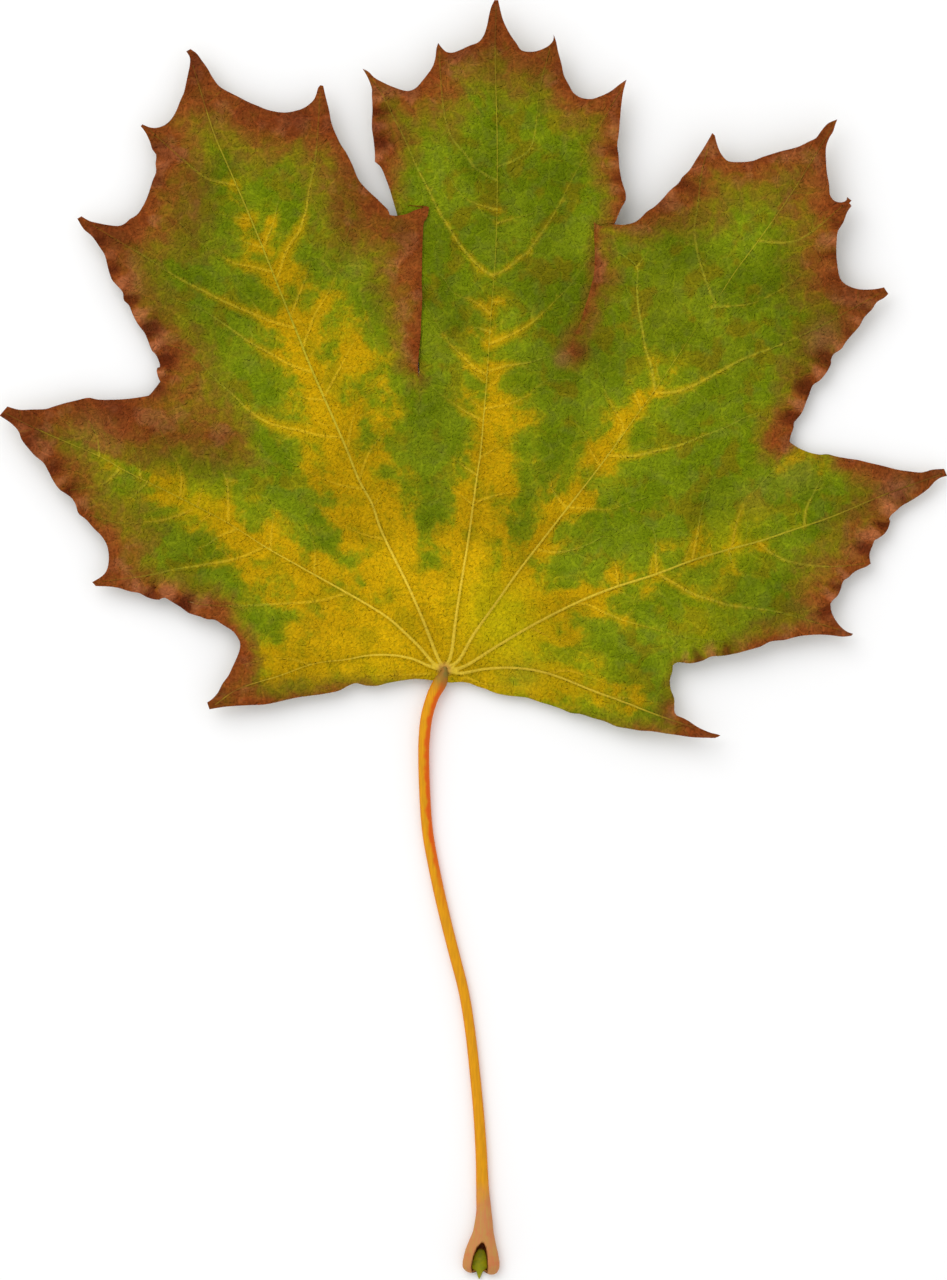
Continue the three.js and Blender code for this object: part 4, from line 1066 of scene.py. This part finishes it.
def grid_points(outline):
    """A slightly shaken triangular grid inside the outline."""
    shake = np.random.default_rng(7)
    low, high = outline.min(0), outline.max(0)
    rows = []
    for j, y in enumerate(np.arange(low[1], high[1], GRID_STEP * math.sqrt(3) / 2)):
        x = np.arange(low[0] + (j % 2) * GRID_STEP / 2, high[0], GRID_STEP)
        rows.append(np.column_stack([x, np.full(len(x), y)]))
    grid = np.vstack(rows)
    grid += shake.uniform(-GRID_SHAKE, GRID_SHAKE, grid.shape)
    return grid[inside(grid, outline)]


def lay_out_blade(outline, veinlets):
    """Triangulates the flat sheet. The margin and the veins are edges of the mesh."""
    veins = blade_lines(outline, veinlets)
    edges = [(i, (i + 1) % len(outline)) for i in range(len(outline))]
    start = len(outline)
    for line in veins:
        edges += [(i, i + 1) for i in range(start, start + len(line) - 1)]
        start += len(line)
    fixed = np.vstack([outline, *veins])
    rows = np.vstack([beside(line, side * ROW_OFFSET) for line in veins for side in (-1, 1)])
    rows = rows[inside(rows, outline)]
    rows = rows[nearest(rows, fixed)[0] > ROW_CLEARANCE]
    grid = grid_points(outline)
    grid = grid[nearest(grid, np.vstack([fixed, rows]))[0] > GRID_CLEARANCE]
    corners = [Vector(p) for p in np.vstack([fixed, rows, grid])]
    made = delaunay_2d_cdt(corners, edges, [], 0, WELD, False)
    vertices, faces = np.array([tuple(v) for v in made[0]]), np.array(made[2])
    faces = faces[inside(vertices[faces].mean(1), outline)]
    used = np.unique(faces)
    renumber = np.full(len(vertices), -1)
    renumber[used] = np.arange(len(used))
    return vertices[used], renumber[faces]


def vein_fields(lying, veinlets):
    """Distances to ribs, side veins and veinlets, and the half widths of the nearest ones."""
    fields = {}
    for name, lines, (stops, widths) in (
        ("rib", RIBS, RIB_WIDTHS),
        ("vein", SIDE_VEIN_LINES, SIDE_VEIN_WIDTHS),
    ):
        curves = [spaced_curve(points, VEIN_STEP / 2) for points in lines]
        curve_widths = [np.interp(shares_along(curve), stops, widths) for curve in curves]
        fields[name], index = nearest(lying, np.vstack(curves))
        fields[name + "_width"] = np.concatenate(curve_widths)[index]
    fields["veinlet"] = nearest(lying, np.vstack([spaced_curve(p, VEIN_STEP / 2) for p in veinlets]))[0]
    return fields


def glow_circles():
    """Circles along the side veins, as wide as the golden glow there."""
    circles = []
    for reach, points in SIDE_VEINS:
        line = spaced_curve(points, GLOW_STEP)
        radius = reach * (GLOW_START - GLOW_FALL * shares_along(line)) - GLOW_EDGE
        circles.append(np.column_stack([line, radius]))
    return np.vstack(circles)


def margin_fields(flat, outline):
    """Distance from the margin, the rust's depth there, and the ripple's height."""
    lying_outline = lie_down(outline)[0]
    along = arc_lengths(np.vstack([outline, outline[:1]]))
    total = along[-1]
    along = along[:-1]
    anchors = np.array(RUST_REACH, float)
    index = nearest(anchors[:, :2], lying_outline)[1]
    order = np.argsort(along[index])
    reach = np.interp(along, along[index][order], anchors[order, 2], period=total)
    ripple = np.zeros(len(outline))
    for x, y, half, height in RIPPLES:
        centre = along[nearest([(x, y)], lying_outline)[1][0]]
        away = np.abs((along - centre + total / 2) % total - total / 2)
        ripple = np.maximum(ripple, height * smooth01(2 * (1 - away / half)))
    wave = np.sin(2 * math.pi * along / RIPPLE_LENGTH + RIPPLE_DRIFT * np.sin(along / DRIFT_LENGTH))
    distance, index = nearest(flat, outline)
    depth = (reach[index] - distance) / np.maximum(reach[index], NARROWEST_RUST)
    return distance, depth, (ripple * wave)[index] * bell(distance, RIPPLE_DEPTH)


def blade_relief(lying, fields, edge):
    """Height of the lamina's upper face above its CAD height, in millimetres."""
    near_rib = bell(fields["rib"], RIB_VALLEY[1])
    near_vein = bell(fields["vein"], VEIN_VALLEY[1])
    relief = PILLOW - RIB_VALLEY[0] * near_rib - VEIN_VALLEY[0] * near_vein * (1 - near_rib)
    for name, (height, spread) in (("rib", RIB_RIDGE), ("vein", VEIN_RIDGE)):
        relief += height * bell(fields[name], spread * fields[name + "_width"])
    for height, size, seed in CRUMPLES:
        relief += height * smooth_noise(lying, size, seed)
    relief -= VEINLET_GROOVE[0] * bell(fields["veinlet"], VEINLET_GROOVE[1])
    relief += fields["ripple"]
    return relief * (smooth01(edge / FULL_RELIEF_FROM) * (1 - MARGIN_RELIEF) + MARGIN_RELIEF)


def blade_fields(lying, flat, outline, veinlets):
    """All that the relief and the materials of the blade follow, a number a vertex each."""
    fields = vein_fields(lying, veinlets)
    edge, rust, fields["ripple"] = margin_fields(flat, outline)
    fields["rust"] = np.maximum(rust, NO_RUST) + patch_field(lying, RUST_PATCHES) / PATCH_UNIT
    bands = np.vstack([spaced_curve(band, BAND_STEP) for band in YELLOW_BANDS])
    fields["yellow"] = circle_field(lying, bands, NO_BAND)
    fields["glow"] = circle_field(lying, glow_circles(), NO_GLOW)
    fields["dark"] = np.clip(patch_field(lying, DARK_PATCHES), 0, DARKEST)
    # Where the painted highlights of sheen lie.
    fields["painted_sheen"] = patch_field(lying, PAINTED_SHEEN_PATCHES)
    fields["lime"] = patch_field(lying, LIME_PATCHES)
    fields["junction"] = np.hypot(lying[:, 0], lying[:, 1])
    fields["relief"] = blade_relief(lying, fields, edge)
    return fields


def make_blade(outline):
    """The lamina, and what the ribs below it need: its flat vertices, their underside and rust."""
    veinlets = draw_veinlets()
    flat, faces = lay_out_blade(outline, veinlets)
    lying, lift = lie_down(flat)
    fields = blade_fields(lying, flat, outline, veinlets)
    top = underside(flat[:, 0], flat[:, 1]) + lift + LAMINA_THICKNESS + fields["relief"]
    bottom = top - LAMINA_THICKNESS
    vertices = np.vstack([np.column_stack([lying, top]), np.column_stack([lying, bottom])])
    count = len(flat)
    directed = {(a, b) for k in range(3) for a, b in zip(faces[:, k], faces[:, (k + 1) % 3])}
    border = sorted((a, b) for a, b in directed if (b, a) not in directed)
    rim = [(b, a, a + count, b + count) for a, b in border]
    all_faces = [tuple(f) for f in faces] + [tuple(f[::-1] + count) for f in faces] + rim
    materials = [lamina_material("upper_face", True), lamina_material("lower_face", False)]
    slots = [0] * len(faces) + [1] * len(faces) + [0] * len(rim)
    blade = add_mesh("blade_lamina", vertices, all_faces, materials, slots)
    store(blade, {name: np.tile(fields[name], 2) for name in BLADE_FIELDS})
    return blade, (flat, bottom, fields["rust"])


# ---- Ribs, stalk and tongue
# Ribs and side veins below: the thickest and thinnest half width, and the sides of the tube.
RIB_TUBE = (0.62, 0.12, 10)
SIDE_VEIN_TUBE = (0.26, 0.07, 6)
RIB_STEP = 1.1
RIB_TO_MARGIN = 0.6
RIB_SUNK = 0.1
RIB_TAPER = 0.8  # share of the thickest that is left where the taper slows
RIB_TAPER_AT = 0.2

STALK_SIDES = 96
STALK_STEP = 0.7
FOOT_STEP = 0.2
FOOT_FROM = 92.0
HOLLOW_APEX = 0.7  # over which the hollow grows deep behind its apex
FLANGE_ROUND = 1.1
FLANGE_NARROWING = 0.14
FLATTEST_END = 0.02
# Both flanges end in a rounded tip, farther on the right, at this place across the half width.
FLANGE_REACH = 0.25
FLANGE_TILT = 0.15
FLANGE_TIP = 0.65
FLANGE_CURVE = 2.2

TONGUE_SIDES = 20
TONGUE_AXIS = [(6.3, -97.6, 0.5), (6.1, -99.2, 0.55), (5.95, -100.7, 0.6), (5.95, -101.8, 0.6),
               (5.9, -102.9, 0.5)]
# Shares of the tongue's length, and half widths and half heights there.
TONGUE_WIDTHS = ([0, 0.3, 0.6, 0.66, 0.79, 0.9, 1], [0.3, 1.15, 1.5, 1.4, 0.5, 0.33, 0.1])
TONGUE_HEIGHTS = ([0, 0.3, 0.58, 0.72, 0.9, 1], [0.1, 0.35, 0.6, 0.4, 0.3, 0.1])
# Brown along both sides from this share of the length on, and back to the apex within that share.
BROWN_SIDES_FROM = 0.45
BROWN_SIDES_RAMP = 0.1
BROWN_APEX = 0.25


def angles_round(sides):
    return np.arange(sides) * 2 * math.pi / sides


def tube(axis, half_widths, half_heights, sides):
    """The vertices and faces of a closed tube along an axis of points."""
    heading = headings(axis)
    side = np.cross(heading, (0, 0, 1.0))
    side /= np.linalg.norm(side, axis=1)[:, None]
    up = np.cross(side, heading)
    angles = angles_round(sides)
    rings = (axis[:, None] + side[:, None] * (half_widths[:, None] * np.cos(angles))[..., None]
             + up[:, None] * (half_heights[:, None] * np.sin(angles))[..., None])
    faces = []
    for start in range(0, (len(axis) - 1) * sides, sides):
        for k in range(sides):
            a, b = start + k, start + (k + 1) % sides
            faces.append((a, b, b + sides, a + sides))
    faces.append(tuple(range(sides))[::-1])
    faces.append(tuple((len(axis) - 1) * sides + k for k in range(sides)))
    return rings.reshape(-1, 3), faces


def make_rib_set(outline, sheet):
    """The ribs and side veins that stand out under the blade, one mesh."""
    flat, bottom, rust = sheet
    lines = [(points, RIB_TUBE) for points in RIBS]
    lines += [(points, SIDE_VEIN_TUBE) for points in SIDE_VEIN_LINES]
    vertices, faces, rusts = [], [], []
    for points, (thick, thin, sides) in lines:
        line = flat_vein(points, RIB_STEP)
        line = line[nearest(line, outline)[0] > RIB_TO_MARGIN]
        if len(line) < 3:
            continue
        index = nearest(line, flat)[1]
        radius = np.interp(np.linspace(0, 1, len(line)), [0, RIB_TAPER_AT, 1],
                           [thick, RIB_TAPER * thick, thin])
        axis = np.column_stack([lie_down(line)[0], bottom[index] + RIB_SUNK - radius])
        ring_points, ring_faces = tube(axis, radius, radius, sides)
        faces += [tuple(i + len(vertices) for i in f) for f in ring_faces]
        vertices += ring_points.tolist()
        rusts += np.repeat(rust[index], sides).tolist()
    vertices = np.array(vertices)
    vertices[:, 2] = np.maximum(vertices[:, 2], 0.0)
    ribs = add_mesh("blade_ribs", vertices, faces, [rib_material()])
    store(ribs, {"rust": rusts})
    return ribs


def stalk_axis():
    """The stalk's axis in the plan, finer at the foot."""
    coarse = spaced_curve(STALK_AXIS, STALK_STEP)
    fine = spaced_curve(STALK_AXIS, FOOT_STEP)
    return np.vstack([coarse[arc_lengths(coarse) < FOOT_FROM], fine[arc_lengths(fine) >= FOOT_FROM]])


def round_flanges(rings, axis, across, from_end):
    """Rounds the ends of the two flanges of the foot."""
    closing = np.clip(1 - from_end / FLANGE_ROUND, 0, 1)
    squeeze = np.sqrt(np.clip(1 - closing ** 2, FLATTEST_END, 1))
    level = rings[:, :, 2].mean(1, keepdims=True)
    rings[:, :, 2] = level + (rings[:, :, 2] - level) * squeeze
    narrowed = 1 - FLANGE_NARROWING * closing ** 2
    rings[:, :, 0] = axis[:, None, 0] + (rings[:, :, 0] - axis[:, None, 0]) * narrowed
    reach = FLANGE_REACH + FLANGE_TILT * across - FLANGE_CURVE * (np.abs(across) - FLANGE_TIP) ** 2
    rings[:, :, 1] -= closing ** 2 * reach


def make_stalk():
    """The leaf stalk: a tapering tube whose flared foot is hollowed from above."""
    axis = stalk_axis()
    along = arc_lengths(axis)
    from_end = (along[-1] - along)[:, None]
    stops, widths, heights = np.array(STALK_SIZES, float).T
    half_width = np.interp(along, stops, widths)
    half_height = np.interp(along, stops, heights)
    level = half_height + (JOINT_HEIGHT - half_height) * (1 - smooth01(along / RESTS_FROM))
    rings, faces = tube(np.column_stack([axis, level]), half_width, half_height, STALK_SIDES)
    rings = rings.reshape(len(axis), STALK_SIDES, 3)
    angles = angles_round(STALK_SIDES)
    across = -np.cos(angles)[None] * np.ones((len(axis), 1))
    # The hollow widens from its apex to the end of the foot.
    half_gap = np.interp(from_end, HOLLOW_STOPS, HOLLOW_HALF_WIDTHS)
    middle = np.interp(from_end, HOLLOW_STOPS, HOLLOW_MIDDLES)
    to_wall = half_gap - np.abs(across * half_width[:, None] - middle)
    depth = smooth01(to_wall / HOLLOW_WALL) * smooth01((HOLLOW_STOPS[-1] - from_end) / HOLLOW_APEX)
    depth *= np.sin(angles)[None] > 0
    rings[:, :, 2] -= depth * (rings[:, :, 2] - HOLLOW_FLOOR)
    round_flanges(rings, axis, across, from_end)
    rings[:, :, 2] = np.maximum(rings[:, :, 2], 0.0)
    stalk = add_mesh("stalk_skin", rings.reshape(-1, 3), faces, [stalk_material()])
    store(stalk, {"along": np.repeat(along, STALK_SIDES), "across": across.ravel(), "hollow": depth.ravel()})
    return stalk


def make_tongue():
    """The tissue that is left in the hollow of the foot and ends in a nub."""
    axis = spaced_curve(TONGUE_AXIS, FOOT_STEP)
    share = np.linspace(0, 1, len(axis))
    rings, faces = tube(axis, np.interp(share, *TONGUE_WIDTHS), np.interp(share, *TONGUE_HEIGHTS),
                        TONGUE_SIDES)
    tongue = add_mesh("stalk_tongue", rings, faces, [tongue_material()])
    sides = np.abs(np.cos(angles_round(TONGUE_SIDES)))[None] ** 4
    rim = sides * smooth01((share - BROWN_SIDES_FROM) / BROWN_SIDES_RAMP)[:, None]
    rim = np.maximum(rim, (1 - smooth01(share / BROWN_APEX))[:, None])
    store(tongue, {"rim": rim.ravel()})
    return tongue


# ---- Scene
FLOOR_HALF = 3.0
WORLD_STRENGTH = 0.83
KEY_OFFSET = Vector((-0.55, 0.75))
KEY_HEIGHT = 1.1
KEY_SIZE = 1.3
KEY_POWER = 7.9
CAMERA_HEIGHT = 2.5
SENSOR_HEIGHT = 24.0
PICTURE_HEIGHT = 0.2163


def make_floor(centre):
    mesh = bpy.data.meshes.new("floor")
    signs = ((-1, -1), (1, -1), (1, 1), (-1, 1))
    corners = [(centre.x + a * FLOOR_HALF, centre.y + b * FLOOR_HALF, 0) for a, b in signs]
    mesh.from_pydata(corners, [], [(0, 1, 2, 3)])
    mesh.materials.append(floor_material())
    floor = add_object("floor", mesh)


def light_scene(centre):
    """An even white world, and a large soft lamp from the upper left."""
    world = bpy.data.worlds.new("studio")
    world.use_nodes = True
    background = world.node_tree.nodes["Background"]
    background.inputs["Color"].default_value = (1, 1, 1, 1)
    background.inputs["Strength"].default_value = WORLD_STRENGTH
    bpy.context.scene.world = world
    lamp = bpy.data.lights.new("key", "AREA")
    lamp.shape = "DISK"
    lamp.size = KEY_SIZE
    lamp.energy = KEY_POWER
    key = add_object("key", lamp)
    key.location = (centre.x + KEY_OFFSET.x, centre.y + KEY_OFFSET.y, KEY_HEIGHT)
    key.rotation_euler = (centre - key.location).to_track_quat("-Z", "Y").to_euler()
    bpy.context.scene.view_settings.view_transform = "Standard"
    bpy.context.scene.view_settings.look = "None"


def make_camera(centre):
    """Looks straight down on the leaf."""
    data = bpy.data.cameras.new("camera")
    data.sensor_fit = "VERTICAL"
    data.sensor_height = SENSOR_HEIGHT
    data.lens = SENSOR_HEIGHT * CAMERA_HEIGHT / PICTURE_HEIGHT
    data.clip_start = 0.05
    data.clip_end = 20
    camera = add_object("camera", data)
    camera.location = (centre.x, centre.y, CAMERA_HEIGHT)
    bpy.context.scene.camera = camera


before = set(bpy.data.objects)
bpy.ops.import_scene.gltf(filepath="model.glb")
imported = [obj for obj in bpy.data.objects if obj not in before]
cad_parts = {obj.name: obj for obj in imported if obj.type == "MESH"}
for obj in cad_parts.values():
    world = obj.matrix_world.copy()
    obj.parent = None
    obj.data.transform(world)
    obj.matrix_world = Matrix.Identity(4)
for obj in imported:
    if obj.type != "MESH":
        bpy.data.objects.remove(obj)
cad_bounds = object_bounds()
blade_low, blade_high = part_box("blade")
plan_margin = np.vstack(LEFT_SIDE_MARGIN + CENTRAL_MARGIN + RIGHT_SIDE_MARGIN)
PLAN_SHIFT = np.array([
    (blade_low.x + blade_high.x) / 2 / MM - (plan_margin[:, 0].min() + plan_margin[:, 0].max()) / 2,
    blade_high.y / MM - plan_margin[:, 1].max(),
    0.0,
])

outline = margin_outline()
blade, sheet = make_blade(outline)
ribs = make_rib_set(outline, sheet)
stalk = make_stalk()
tongue = make_tongue()
for piece, node in ((blade, "blade"), (ribs, "blade"), (stalk, "stalk"), (tongue, "stalk")):
    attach(piece, "root")
    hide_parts(node)

leaf_centre = (cad_bounds[0] + cad_bounds[1]) / 2
make_floor(leaf_centre)
light_scene(leaf_centre)
make_camera(leaf_centre)
